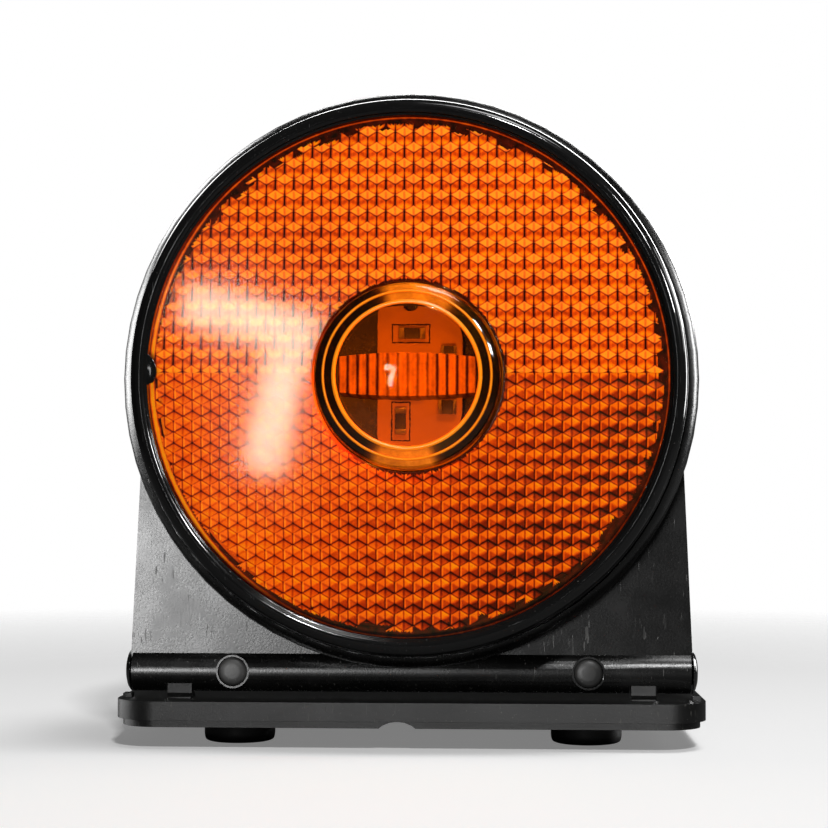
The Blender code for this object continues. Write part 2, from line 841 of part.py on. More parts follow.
def make_cell(name, z, side):
    """A dry cell whose button end points to side; its other end leaves room for a spring."""
    tip = HOLDER_HALF_WIDTH - HOLDER_WALL - GAP - CONTACT_THICK - GAP
    shoulder = tip - CELL_NUB
    tail = shoulder - CELL_BODY
    profile = [
        (0, tip),
        (CELL_NUB_RADIUS, tip),
        (CELL_NUB_RADIUS, shoulder),
        (CELL_RADIUS - 0.0004, shoulder),
        (CELL_RADIUS, shoulder - 0.0004),
        (CELL_RADIUS, tail + 0.0004),
        (CELL_RADIUS - 0.0004, tail),
        (0, tail),
    ]
    outward = (0, side * math.radians(90), 0)
    turned(name, profile, (0, at_depth(CELL_DEPTH), z), outward, "cell_wrap", 20)
    return tail


def make_spring(name, z, side, tail):
    """A coil between a cell's flat end and the contact on that wall."""
    start = tail - GAP - SPRING_WIRE
    end = -(HOLDER_HALF_WIDTH - HOLDER_WALL - GAP - CONTACT_THICK - GAP) + SPRING_WIRE
    count = SPRING_TURNS * 8
    points = []
    for i in range(count + 1):
        along = start + (end - start) * i / count
        angle = 2 * math.pi * SPRING_TURNS * i / count
        depth = CELL_DEPTH + SPRING_RADIUS * math.cos(angle)
        points.append((side * along, at_depth(depth), z + SPRING_RADIUS * math.sin(angle)))
    wire(name, points, SPRING_WIRE, "steel")


def make_contact(name, side, z_low, z_high):
    outer = side * (HOLDER_HALF_WIDTH - HOLDER_WALL - GAP)
    inner = outer - side * CONTACT_THICK
    low = (min(outer, inner), at_depth(CELL_DEPTH - CONTACT_REACH), z_low)
    high = (max(outer, inner), at_depth(CELL_DEPTH + CONTACT_REACH), z_high)
    box(name, low, high, "steel")


def make_battery_pack():
    front, back = HOLDER_DEPTHS
    low, high = HOLDER_ZS
    holder = box(
        "battery_holder",
        (-HOLDER_HALF_WIDTH, at_depth(front), low),
        (HOLDER_HALF_WIDTH, at_depth(back), high),
        "satin_black",
    )
    tray = box(
        "battery_tray",
        (-HOLDER_HALF_WIDTH + HOLDER_WALL, at_depth(front + HOLDER_WALL), low + HOLDER_WALL),
        (HOLDER_HALF_WIDTH - HOLDER_WALL, at_depth(back + 0.002), high - HOLDER_WALL),
    )
    combine(holder, "DIFFERENCE", [tray])
    tail = make_cell("battery_upper", CELL_ZS["upper"], 1)
    make_cell("battery_lower", CELL_ZS["lower"], -1)
    make_spring("battery_spring_upper", CELL_ZS["upper"], 1, tail)
    make_spring("battery_spring_lower", CELL_ZS["lower"], -1, tail)
    reach = CONTACT_REACH
    make_contact("contact_bridge", -1, CELL_ZS["lower"] - reach, CELL_ZS["upper"] + reach)
    make_contact("terminal_positive", 1, CELL_ZS["upper"] - reach, CELL_ZS["upper"] + reach)
    make_contact("terminal_negative", 1, CELL_ZS["lower"] - reach, CELL_ZS["lower"] + reach)


def make_driver():
    half_x, half_z = DRIVER_HALF
    front, back = DRIVER_DEPTHS
    box(
        "driver_board",
        (-half_x, at_depth(front), BUTTON_Z - half_z),
        (half_x, at_depth(back), BUTTON_Z + half_z),
        "solder_mask",
    )
    box(
        "driver_chip",
        (CHIP_XS[0], at_depth(back + GAP), BUTTON_Z - CHIP_HALF_HEIGHT),
        (CHIP_XS[1], at_depth(back + GAP + CHIP_THICK), BUTTON_Z + CHIP_HALF_HEIGHT),
        "chip_black",
    )
    body = box(
        "switch_body",
        (-SWITCH_HALF, at_depth(SWITCH_DEPTHS[0]), BUTTON_Z - SWITCH_HALF),
        (SWITCH_HALF, at_depth(SWITCH_DEPTHS[1]), BUTTON_Z + SWITCH_HALF),
        "chip_black",
    )
    well = cylinder(
        "switch_well",
        0.0024,
        0.0050,
        (0, at_depth(SWITCH_DEPTHS[1]), BUTTON_Z),
        TO_FRONT,
        segments=16,
    )
    combine(body, "DIFFERENCE", [well])


def make_leads():
    """Two short wires from the LED board's back, through the wire hole, up to the driver board."""
    for tag, side, finish in (("positive", 1, "wire_red"), ("negative", -1, "wire_black")):
        x = side * 0.0016
        route = [
            (x, BOARD_DEPTHS[1] + GAP, LENS_Z),
            (x, 0.0140, LENS_Z),
            (x, 0.0154, LENS_Z + 0.0006),
            (x * 1.2, 0.0158, LENS_Z + 0.0022),
            (x * 1.8, 0.0158, LENS_Z + 0.0080),
            (x * 2.4, 0.0160, LENS_Z + 0.0125),
            (x * 2.6, 0.0170, LENS_Z + 0.0142),
            (x * 2.6, DRIVER_DEPTHS[0] - GAP, LENS_Z + 0.0148),
        ]
        points = [(across, at_depth(depth), z) for across, depth, z in route]
        wire(f"lead_{tag}", points, 0.0007, finish)


def make_button():
    """Origin on its own axis; it slides towards the front."""
    profile = [
        (0, 0.0425),
        (BUTTON_RADIUS - 0.0014, 0.0424),
        (BUTTON_RADIUS - 0.0003, 0.0420),
        (BUTTON_RADIUS, 0.0412),
        (BUTTON_RADIUS, COVER_DEPTHS[0] - GAP),
        (BUTTON_RADIUS + 0.0012, COVER_DEPTHS[0] - GAP),
        (BUTTON_RADIUS + 0.0012, COVER_DEPTHS[0] - 0.0013),
        (0.0020, COVER_DEPTHS[0] - 0.0013),
        (0.0020, 0.0297),
        (0, 0.0297),
    ]
    backward = (math.radians(-90), 0, 0)
    turned("power_button", profile, (0, LENS_Y, BUTTON_Z), backward, "button_grey", 24)


def make_rear():
    front, back = COVER_DEPTHS
    cover = front_outline("rear_cover", arch(0, SLOPE_END_Z), COVER_DEPTHS, "satin_black")
    hole = cylinder(
        "button_hole",
        BUTTON_RADIUS + GAP,
        0.0060,
        (0, at_depth((front + back) / 2), BUTTON_Z),
        TO_FRONT,
        segments=28,
    )
    removed = [hole]
    screw = [
        (0, back + 0.0006),
        (0.0016, back + 0.0005),
        (0.0024, back),
        (0.0026, back - 0.0006),
        (0.0026, back - 0.0009),
        (0.0012, back - 0.0009),
        (0.0012, 0.0280),
        (0, 0.0275),
    ]
    backward = (math.radians(-90), 0, 0)
    for level, (x, z) in zip(("lower", "upper"), SCREW_PLACES):
        for side, tag in ((-1, "left"), (1, "right")):
            name = f"{level}_{tag}"
            place = (side * x, at_depth(back), z)
            removed.append(
                cylinder(f"head_recess_{name}", 0.0030, 0.0024, place, TO_FRONT, segments=20)
            )
            removed.append(
                cylinder(f"screw_hole_{name}", PILOT_RADIUS, 0.0100, place, TO_FRONT, segments=12)
            )
            turned(f"cover_screw_{name}", screw, (side * x, LENS_Y, z), backward, "steel", 12)
    combine(cover, "DIFFERENCE", removed)

    floor = SLOPE_END_Z + GASKET_FLOOR
    edge = arch(GASKET_INSET, SLOPE_END_Z + GASKET_INSET)
    gasket = front_outline("rear_gasket", edge, GASKET_DEPTHS, "rubber")
    opening = front_outline(
        "gasket_opening",
        arch(WALL - GASKET_LIP, floor),
        (GASKET_DEPTHS[0] - PAST, GASKET_DEPTHS[1] + PAST),
    )
    combine(gasket, "DIFFERENCE", [opening])


# Parenting


def hang_on(name, location, members):
    pivot = bpy.data.objects.new(name, None)
    pivot.location = location
    PARTS.objects.link(pivot)
    bpy.context.view_layer.update()
    for member in members:
        member.parent = pivot
        member.matrix_parent_inverse = pivot.matrix_world.inverted()


make_base_plate()
make_feet()
make_hinge()
make_housing()
make_bezel()
make_reflector()
make_marker_lens()
make_optic_band()
make_lamp_cup()
make_led_board()
make_board_parts()
make_battery_pack()
make_driver()
make_leads()
make_button()
make_rear()

STANDING = ("base_plate", "rubber_foot", "hinge_rod")
head = [part for part in PARTS.objects if not part.name.startswith(STANDING)]
hang_on("head_tilt", (0, HINGE_Y, HINGE_Z), head)
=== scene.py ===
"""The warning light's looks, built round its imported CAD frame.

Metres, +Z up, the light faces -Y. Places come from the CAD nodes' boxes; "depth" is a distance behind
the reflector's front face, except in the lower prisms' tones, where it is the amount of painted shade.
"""

import json
import math
import random

import bmesh
import bpy
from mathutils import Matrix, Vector, noise

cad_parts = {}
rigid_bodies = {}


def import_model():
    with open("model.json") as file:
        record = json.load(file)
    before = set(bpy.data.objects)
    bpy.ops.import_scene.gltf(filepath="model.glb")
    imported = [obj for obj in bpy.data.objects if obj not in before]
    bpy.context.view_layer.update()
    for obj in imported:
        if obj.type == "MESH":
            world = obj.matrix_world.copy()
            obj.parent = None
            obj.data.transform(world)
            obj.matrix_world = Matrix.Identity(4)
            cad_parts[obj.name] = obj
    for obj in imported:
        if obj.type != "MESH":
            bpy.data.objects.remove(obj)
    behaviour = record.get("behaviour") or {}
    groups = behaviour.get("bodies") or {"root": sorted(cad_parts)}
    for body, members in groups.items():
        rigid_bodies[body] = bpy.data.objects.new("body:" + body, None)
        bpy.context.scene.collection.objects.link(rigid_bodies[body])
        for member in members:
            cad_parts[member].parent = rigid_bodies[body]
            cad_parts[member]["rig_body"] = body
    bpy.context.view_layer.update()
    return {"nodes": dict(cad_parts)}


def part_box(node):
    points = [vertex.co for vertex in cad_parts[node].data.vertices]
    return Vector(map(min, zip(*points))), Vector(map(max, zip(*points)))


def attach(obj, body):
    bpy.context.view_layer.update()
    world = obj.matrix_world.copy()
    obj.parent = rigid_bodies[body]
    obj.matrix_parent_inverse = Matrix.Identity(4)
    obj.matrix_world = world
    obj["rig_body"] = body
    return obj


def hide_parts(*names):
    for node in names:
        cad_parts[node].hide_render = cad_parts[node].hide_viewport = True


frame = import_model()
NODES = frame["nodes"]
MM = 0.001

LENS_LOW, LENS_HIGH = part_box("reflector_lens")
LENS_Y = LENS_LOW.y
LENS_Z = (LENS_LOW.z + LENS_HIGH.z) / 2

# ---------------------------------------------------------------- materials


def new_material(name):
    material = bpy.data.materials.new(name)
    material.use_nodes = True
    tree = material.node_tree
    return material, tree, tree.nodes["Principled BSDF"]


def add(tree, kind, inputs=None, **settings):
    """A node with its settings, and its inputs linked from a socket or set to a value."""
    node = tree.nodes.new("ShaderNode" + kind)
    for key, value in settings.items():
        setattr(node, key, value)
    for key, value in (inputs or {}).items():
        if isinstance(value, bpy.types.NodeSocket):
            tree.links.new(value, node.inputs[key])
        else:
            node.inputs[key].default_value = value
    return node


def math_of(tree, operation, a, b=0.0, c=0.0, clamp=False):
    inputs = {0: a, 1: b}
    if operation in ("MULTIPLY_ADD", "SMOOTH_MIN"):
        inputs[2] = c
    return add(tree, "Math", inputs, operation=operation, use_clamp=clamp).outputs[0]


def ramp(tree, value, stops):
    """A colour ramp: stops are (position, grey or colour)."""
    node = add(tree, "ValToRGB", {"Fac": value})
    elements = node.color_ramp.elements
    while len(elements) > 1:
        elements.remove(elements[-1])
    for index, (place, colour) in enumerate(stops):
        element = elements[0] if index == 0 else elements.new(place)
        element.position = place
        if not hasattr(colour, "__len__"):
            colour = (colour, colour, colour)
        element.color = (*colour, 1)
    return node.outputs["Color"]


def blend(tree, factor, a, b, mode="MIX"):
    node = add(tree, "Mix", data_type="RGBA", blend_type=mode)
    for index, value in ((0, factor), (6, a), (7, b)):
        if isinstance(value, bpy.types.NodeSocket):
            tree.links.new(value, node.inputs[index])
        elif index == 0:
            node.inputs[index].default_value = value
        else:
            node.inputs[index].default_value = (*value, 1)
    return node.outputs[2]


def place_of(tree, scale=(1, 1, 1), turn=(0, 0, 0)):
    """Object coordinates in millimetres, stretched and turned."""
    coordinates = add(tree, "TexCoord").outputs["Object"]
    sizes = [1000 * s for s in scale]
    mapping = add(tree, "Mapping", {"Vector": coordinates, "Rotation": turn, "Scale": sizes})
    return mapping.outputs["Vector"]


def noise_of(tree, scale, detail=3.0, roughness=0.5, place=None, distortion=0.0):
    inputs = {
        "Vector": place or place_of(tree),
        "Scale": scale,
        "Detail": detail,
        "Roughness": roughness,
        "Distortion": distortion,
    }
    return add(tree, "TexNoise", inputs).outputs["Fac"]


def bump(tree, height, strength, distance, below=None):
    inputs = {"Height": height, "Strength": strength, "Distance": distance}
    if below:
        inputs["Normal"] = below
    return add(tree, "Bump", inputs).outputs["Normal"]


def scratches(tree, turns, length=0.05, width=2.4, threshold=0.72):
    """Fine straight marks in a few directions, 1 on a mark."""
    total = None
    for turn in turns:
        across = place_of(tree, (width, width, width * length), turn)
        line = noise_of(tree, 1.0, 1.0, 0.4, across)
        patch = noise_of(tree, 0.09, 2.0, 0.5, place_of(tree, turn=turn))
        mark = ramp(tree, line, [(threshold, 0), (threshold + 0.02, 1)])
        mark = math_of(tree, "MULTIPLY", mark, ramp(tree, patch, [(0.5, 0), (0.62, 1)]))
        total = mark if total is None else math_of(tree, "MAXIMUM", total, mark)
    return total


def worn_plastic(name, base, light, scuff, roughness, grain=0.35):
    """Black moulded plastic: a fine grain, faint cloudy handling marks, pale scratches and dust."""
    material, tree, shader = new_material(name)
    cloud = noise_of(tree, 0.11, 5.0, 0.62)
    fine = noise_of(tree, 2.6, 3.0, 0.6)
    colour = blend(tree, ramp(tree, cloud, [(0.42, 0), (0.68, 1)]), base, light)
    marks = scratches(tree, ((0, 0.5, 0.2), (0.3, -0.7, 0), (0, 1.3, 0.9)), 0.12)
    colour = blend(tree, math_of(tree, "MULTIPLY", marks, 0.22), colour, scuff)
    speck = ramp(tree, noise_of(tree, 3.1, 2.0, 0.5), [(0.70, 0), (0.74, 1)])
    colour = blend(tree, math_of(tree, "MULTIPLY", speck, 0.25), colour, scuff)
    tree.links.new(colour, shader.inputs["Base Color"])
    rough = math_of(tree, "MULTIPLY_ADD", cloud, 0.20, roughness - 0.10)
    rough = math_of(tree, "MULTIPLY_ADD", fine, 0.10, rough)
    rough = math_of(tree, "MULTIPLY_ADD", marks, 0.15, rough)
    tree.links.new(rough, shader.inputs["Roughness"])
    height = math_of(tree, "MULTIPLY_ADD", marks, -0.6, fine)
    tree.links.new(bump(tree, height, grain, 0.00004), shader.inputs["Normal"])
    shader.inputs["IOR"].default_value = 1.5
    return material


def glossy_plastic():
    """Polished black plastic, very slightly uneven, with hair scratches and dust."""
    material, tree, shader = new_material("gloss_black_look")
    wave = noise_of(tree, 0.13, 2.0, 0.5)
    marks = scratches(tree, ((0, 0.4, 0), (0, 1.9, 0.3)), 0.03, 4.0, 0.74)
    dust = ramp(tree, noise_of(tree, 2.4, 2.0, 0.5), [(0.70, 0), (0.76, 1)])
    colour = blend(tree, math_of(tree, "MULTIPLY", dust, 0.3), (0.004, 0.004, 0.004), (0.16, 0.15, 0.14))
    colour = blend(tree, math_of(tree, "MULTIPLY", marks, 0.3), colour, (0.12, 0.12, 0.12))
    tree.links.new(colour, shader.inputs["Base Color"])
    rough = math_of(tree, "MULTIPLY_ADD", wave, 0.10, 0.05)
    rough = math_of(tree, "MULTIPLY_ADD", dust, 0.25, rough)
    tree.links.new(rough, shader.inputs["Roughness"])
    tree.links.new(bump(tree, wave, 0.25, 0.0006), shader.inputs["Normal"])
    shader.inputs["IOR"].default_value = 1.52
    return material


def rubber():
    material, tree, shader = new_material("rubber_look")
    fine = noise_of(tree, 3.4, 4.0, 0.6)
    cloud = noise_of(tree, 0.25, 4.0, 0.6)
    colour = blend(tree, cloud, (0.010, 0.010, 0.011), (0.030, 0.029, 0.028))
    dust = ramp(tree, noise_of(tree, 1.3, 4.0, 0.7), [(0.60, 0), (0.75, 1)])
    colour = blend(tree, math_of(tree, "MULTIPLY", dust, 0.35), colour, (0.12, 0.115, 0.105))
    tree.links.new(colour, shader.inputs["Base Color"])
    rough = math_of(tree, "MULTIPLY_ADD", cloud, 0.3, 0.25)
    tree.links.new(rough, shader.inputs["Roughness"])
    tree.links.new(bump(tree, fine, 0.3, 0.00005), shader.inputs["Normal"])
    return material


def metal(name, dark, light, roughness):
    material, tree, shader = new_material(name)
    brushed = noise_of(tree, 1.0, 3.0, 0.6, place_of(tree, (0.4, 6, 6)))
    spots = ramp(tree, noise_of(tree, 0.9, 4.0, 0.65), [(0.56, 0), (0.72, 1)])
    colour = blend(tree, brushed, dark, light)
    colour = blend(tree, math_of(tree, "MULTIPLY", spots, 0.5), colour, (0.20, 0.15, 0.11))
    tree.links.new(colour, shader.inputs["Base Color"])
    shader.inputs["Metallic"].default_value = 1.0
    rough = math_of(tree, "MULTIPLY_ADD", brushed, 0.2, roughness)
    tree.links.new(rough, shader.inputs["Roughness"])
    tree.links.new(bump(tree, brushed, 0.2, 0.00003), shader.inputs["Normal"])
    return material


def patterned(name, dark, light, roughness, size=0.8, grain=0.2, metallic=0.0):
    """A plain moulded or printed finish with its own mottling, specks and grain."""
    material, tree, shader = new_material(name)
    cloud = noise_of(tree, 0.2 / size, 4.0, 0.6)
    fine = noise_of(tree, 2.2 / size, 3.0, 0.6)
    colour = blend(tree, cloud, dark, light)
    speck = ramp(tree, fine, [(0.64, 0), (0.70, 1)])
    colour = blend(tree, math_of(tree, "MULTIPLY", speck, 0.25), colour, [0.5 * c for c in dark])
    tree.links.new(colour, shader.inputs["Base Color"])
    shader.inputs["Metallic"].default_value = metallic
    tree.links.new(math_of(tree, "MULTIPLY_ADD", cloud, 0.2, roughness - 0.1), shader.inputs["Roughness"])
    tree.links.new(bump(tree, fine, grain, 0.00004), shader.inputs["Normal"])
    return material


# Colours for the tone attribute: dark red where painted shade lies, bright orange where painted light lies.
TONES = [
    (0.00, (0.010, 0.0010, 0.0002)),
    (0.22, (0.090, 0.005, 0.0003)),
    (0.45, (0.42, 0.030, 0.0006)),
    (0.66, (0.86, 0.096, 0.0010)),
    (0.86, (1.00, 0.215, 0.0026)),
    (1.00, (1.00, 0.36, 0.005)),
]
# The same for what is seen through the amber lens, which colours it a second time.
INSIDE_TONES = [
    (0.00, (0.004, 0.002, 0.002)),
    (0.25, (0.060, 0.020, 0.010)),
    (0.45, (0.200, 0.100, 0.050)),
    (0.70, (0.460, 0.250, 0.120)),
    (1.00, (0.920, 0.600, 0.300)),
]


def toned_orange(name, tones):
    """Orange plastic: each point's tone is an attribute of the mesh that holds painted light and shade,
    broken up by small flaws.
    """
    material, tree, shader = new_material(name)
    tone = add(tree, "Attribute", attribute_name="tone").outputs["Fac"]
    flaw = noise_of(tree, 1.7, 3.0, 0.6)
    broad = noise_of(tree, 0.055, 2.0, 0.5)
    value = math_of(tree, "MULTIPLY_ADD", flaw, 0.26, math_of(tree, "SUBTRACT", tone, 0.13))
    value = math_of(tree, "MULTIPLY_ADD", broad, 0.22, math_of(tree, "SUBTRACT", value, 0.11), clamp=True)
    tree.links.new(ramp(tree, value, tones), shader.inputs["Base Color"])
    shader.inputs["Roughness"].default_value = 0.35
    shader.inputs["Specular IOR Level"].default_value = 0.06
    tree.links.new(bump(tree, flaw, 0.15, 0.00008), shader.inputs["Normal"])
    return material


def clear_face():
    """The reflector's clear front: it passes light with an amber tint and mirrors the lamps softly."""
    material, tree, shader = new_material("clear_face_look")
    dust = ramp(tree, noise_of(tree, 2.9, 2.0, 0.55), [(0.69, 0), (0.73, 1)])
    marks = scratches(tree, ((0, 0.3, 0), (0, 1.4, 0)), 0.02, 5.0, 0.75)
    smear = noise_of(tree, 0.09, 3.0, 0.6)
    clear = add(tree, "BsdfTransparent", {"Color": (1.0, 0.965, 0.72, 1)})
    gloss = add(
        tree,
        "BsdfGlossy",
        {"Color": (1, 1, 1, 1), "Roughness": math_of(tree, "MULTIPLY_ADD", smear, 0.05, 0.045)},
    )
    fresnel = add(tree, "Fresnel", {"IOR": 1.49}).outputs[0]
    glass = add(tree, "MixShader", {0: fresnel, 1: clear.outputs[0], 2: gloss.outputs[0]})
    film = add(tree, "BsdfDiffuse", {"Color": (0.55, 0.42, 0.30, 1)})
    dirt = math_of(tree, "MAXIMUM", dust, math_of(tree, "MULTIPLY", marks, 0.6))
    dirt = math_of(tree, "MULTIPLY", dirt, 0.14)
    both = add(tree, "MixShader", {0: dirt, 1: glass.outputs[0], 2: film.outputs[0]})
    tree.nodes.remove(shader)
    tree.links.new(both.outputs[0], tree.nodes["Material Output"].inputs["Surface"])
    return material


def clear_amber(name, colour, roughness, body=0.0):
    """Clear amber plastic that bends light; lamps shine through it onto what is inside."""
    material, tree, shader = new_material(name)
    smear = noise_of(tree, 0.5, 3.0, 0.6)
    shader.inputs["Base Color"].default_value = (*colour, 1)
    shader.inputs["Transmission Weight"].default_value = 1.0 - body
    shader.inputs["IOR"].default_value = 1.49
    tree.links.new(math_of(tree, "MULTIPLY_ADD", smear, 0.05, roughness), shader.inputs["Roughness"])
    tree.links.new(bump(tree, smear, 0.08, 0.0002), shader.inputs["Normal"])
    passed = add(tree, "BsdfTransparent", {"Color": (*[c**0.5 for c in colour], 1)})
    shadow = add(tree, "LightPath").outputs["Is Shadow Ray"]
    mixed = add(tree, "MixShader", {0: shadow, 1: shader.outputs[0], 2: passed.outputs[0]})
    tree.links.new(mixed.outputs[0], tree.nodes["Material Output"].inputs["Surface"])
    return material


LOOKS = {
    "shell": worn_plastic(
        "satin_black_look", (0.0012, 0.0012, 0.0011), (0.0035, 0.0034, 0.0033), (0.16, 0.155, 0.145), 0.22
    ),
    # A lighter copy of the case's satin black: the plate's greyer look, which comes partly from light on its
    # front, is painted into its colour; the pale scuffs are wear.
    "plate": worn_plastic(
        "foot_plate_look", (0.0025, 0.0025, 0.0024), (0.006, 0.0059, 0.0057), (0.24, 0.23, 0.21), 0.32
    ),
    "stud": worn_plastic(
        "stud_black_look", (0.018, 0.018, 0.0175), (0.045, 0.044, 0.043), (0.25, 0.24, 0.23), 0.38
    ),
    "gloss": glossy_plastic(),
    "rubber": rubber(),
    "steel": metal("steel_look", (0.42, 0.41, 0.40), (0.70, 0.69, 0.67), 0.25),
    "screw": metal("screw_look", (0.42, 0.42, 0.42), (0.72, 0.71, 0.69), 0.42),
    "prisms": toned_orange("reflector_orange_look", TONES),
    "inside": toned_orange("inside_amber_look", INSIDE_TONES),
    "face": clear_face(),
    "dome": clear_amber("clear_amber_look", (1.0, 0.40, 0.02), 0.012),
    "lip": patterned("amber_lip_look", (0.90, 0.17, 0.002), (1.0, 0.33, 0.006), 0.25, 1.2, 0.1),
    "board": patterned("solder_mask_look", (0.42, 0.25, 0.10), (0.49, 0.29, 0.12), 0.35),
    "chip": patterned("chip_black_look", (0.014, 0.013, 0.012), (0.034, 0.032, 0.030), 0.45, 0.4),
    "print": patterned("board_print_look", (0.010, 0.009, 0.008), (0.030, 0.026, 0.022), 0.55, 0.3),
    "tin": metal("tinned_end_look", (0.55, 0.54, 0.52), (0.82, 0.81, 0.79), 0.22),
    "ceramic": patterned("led_case_look", (0.82, 0.80, 0.74), (0.92, 0.90, 0.86), 0.4, 0.3),
    "phosphor": patterned("led_yellow_look", (0.86, 0.62, 0.10), (0.95, 0.76, 0.18), 0.25, 0.3),
    "cell": patterned("cell_wrap_look", (0.03, 0.07, 0.15), (0.06, 0.11, 0.20), 0.25, 1.5, 0.05),
    "wire_red": patterned("wire_red_look", (0.42, 0.02, 0.015), (0.60, 0.04, 0.03), 0.4, 0.5),
    "wire_black": patterned("wire_black_look", (0.014, 0.014, 0.014), (0.03, 0.03, 0.03), 0.4, 0.5),
    "button": worn_plastic(
        "button_grey_look", (0.085, 0.085, 0.084), (0.13, 0.13, 0.128), (0.40, 0.40, 0.39), 0.50, 0.5
    ),
    "tray": worn_plastic(
        "cell_tray_look", (0.022, 0.022, 0.021), (0.04, 0.04, 0.038), (0.2, 0.2, 0.19), 0.48, 0.5
    ),
}

# ---------------------------------------------------------------- shapes


def new_piece(name, mesh, look, body, stands_for=(), sharp=32):
    if sharp:
        mesh.shade_smooth()
        mesh.set_sharp_from_angle(angle=math.radians(sharp))
    mesh.materials.clear()
    mesh.materials.append(LOOKS[look])
    obj = bpy.data.objects.new(name, mesh)
    bpy.context.scene.collection.objects.link(obj)
    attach(obj, body)
    if stands_for:
        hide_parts(*stands_for)
    return obj


def mesh_of(work, name):
    bmesh.ops.recalc_face_normals(work, faces=work.faces)
    mesh = bpy.data.meshes.new(name)
    work.to_mesh(mesh)
    work.free()
    return mesh


def fillet(points, size, steps=3, closed=False):
    """The outline with each corner rounded."""
    vectors = [Vector(p) for p in points]
    rounded = []
    count = len(vectors)
    for i, corner in enumerate(vectors):
        if not closed and i in (0, count - 1):
            rounded.append(corner)
            continue
        before = vectors[i - 1] - corner
        after = vectors[(i + 1) % count] - corner
        reach = min(size, 0.45 * before.length, 0.45 * after.length)
        start = corner + before.normalized() * reach
        end = corner + after.normalized() * reach
        if before.length > 5 * reach:
            rounded.append(corner + before.normalized() * 1.6 * reach)
        for step in range(steps + 1):
            t = step / steps
            rounded.append(start * (1 - t) ** 2 + corner * 2 * t * (1 - t) + end * t**2)
        if after.length > 5 * reach:
            rounded.append(corner + after.normalized() * 1.6 * reach)
    return rounded


AXES = {
    "front": (Vector((0, 1, 0)), Vector((1, 0, 0)), Vector((0, 0, 1))),
    "back": (Vector((0, 1, 0)), Vector((1, 0, 0)), Vector((0, 0, 1))),
    "up": (Vector((0, 0, 1)), Vector((1, 0, 0)), Vector((0, 1, 0))),
    "right": (Vector((1, 0, 0)), Vector((0, 1, 0)), Vector((0, 0, 1))),
    "left": (Vector((-1, 0, 0)), Vector((0, 1, 0)), Vector((0, 0, 1))),
}


def lathe(work, profile, steps, centre, axis="front", closed=False):
    """Adds a profile of (radius, distance along the axis), turned about the axis through centre."""
    along, first, second = AXES[axis]
    rings = []
    for radius, reach in profile:
        if radius < 1e-7:
            rings.append([work.verts.new(centre + along * reach)])
            continue
        ring = []
        for step in range(steps):
            angle = 2 * math.pi * step / steps
            out = first * math.cos(angle) + second * math.sin(angle)
            ring.append(work.verts.new(centre + along * reach + out * radius))
        rings.append(ring)
    pairs = list(zip(rings, rings[1:]))
    if closed:
        pairs.append((rings[-1], rings[0]))
    for inner, outer in pairs:
        for step in range(steps):
            after = (step + 1) % steps
            if len(inner) == 1 and len(outer) == 1:
                break
            if len(inner) == 1:
                work.faces.new((inner[0], outer[step], outer[after]))
            elif len(outer) == 1:
                work.faces.new((inner[step], outer[0], inner[after]))
            else:
                work.faces.new((inner[step], outer[step], outer[after], inner[after]))


def turned(name, profile, look, body, stands_for, steps=96, centre=None, axis="front", closed=False):
    work = bmesh.new()
    lathe(work, profile, steps, centre or Vector((0, LENS_Y, LENS_Z)), axis, closed)
    return new_piece(name, mesh_of(work, name), look, body, stands_for, 40)


def mm(*points):
    return [(a * MM, b * MM) for a, b in points]


def softened(node, look, width=0.25, segments=2, angle=30):
    """A CAD node's shape with its edges rounded, standing for the node."""
    source = NODES[node]
    work = bmesh.new()
    work.from_mesh(source.data)
    bmesh.ops.remove_doubles(work, verts=work.verts, dist=2e-6)
    bmesh.ops.dissolve_limit(
        work, angle_limit=math.radians(0.6), verts=work.verts, edges=work.edges, delimit={"NORMAL"}
    )
    mesh = mesh_of(work, node + "_sharp")
    mesh.shade_smooth()
    mesh.set_sharp_from_angle(angle=math.radians(60))
    guide = bpy.data.objects.new(node + "_guide", mesh)
    bpy.context.scene.collection.objects.link(guide)
    modifier = guide.modifiers.new("edges", "BEVEL")
    modifier.width = width * MM
    modifier.segments = segments
    modifier.limit_method = "ANGLE"
    modifier.angle_limit = math.radians(angle)
    modifier.use_clamp_overlap = True
    modifier.miter_outer = "MITER_ARC"
    normals = guide.modifiers.new("normals", "WEIGHTED_NORMAL")
    normals.weight = 80
    bpy.context.view_layer.update()
    graph = bpy.context.evaluated_depsgraph_get()
    final = bpy.data.meshes.new_from_object(guide.evaluated_get(graph))
    final.name = node + "_look"
    bpy.data.objects.remove(guide)
    return new_piece(node + "_look", final, look, source["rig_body"], [node], 0)


def rounded_box(work, low, high, radius):
    """Adds a box with rounded edges."""
    result = bmesh.ops.create_cube(work, size=1)
    size = [b - a for a, b in zip(low, high)]
    middle = [(a + b) / 2 for a, b in zip(low, high)]
    bmesh.ops.scale(work, vec=size, verts=result["verts"])
    bmesh.ops.translate(work, vec=middle, verts=result["verts"])
    edges = {edge for vert in result["verts"] for edge in vert.link_edges}
    bmesh.ops.bevel(
        work, geom=list(edges), offset=radius, segments=3, profile=0.5, affect="EDGES", clamp_overlap=True
    )


def add_slab(work, points, front, back, radius):
    """Adds an outline of (x, z) points between two y places, with its front edge rounded."""
    front_face = work.faces.new([work.verts.new((x, front, z)) for x, z in points])
    result = bmesh.ops.extrude_face_region(work, geom=[front_face])
    moved = [item for item in result["geom"] if isinstance(item, bmesh.types.BMVert)]
    for vert in moved:
        vert.co.y = back
    edges = [e for v in front_face.verts for e in v.link_edges if all(x in front_face.verts for x in e.verts)]
    bmesh.ops.bevel(work, geom=list(set(edges)), offset=radius, segments=3, profile=0.5, affect="EDGES")


# ---------------------------------------------------------------- reflector

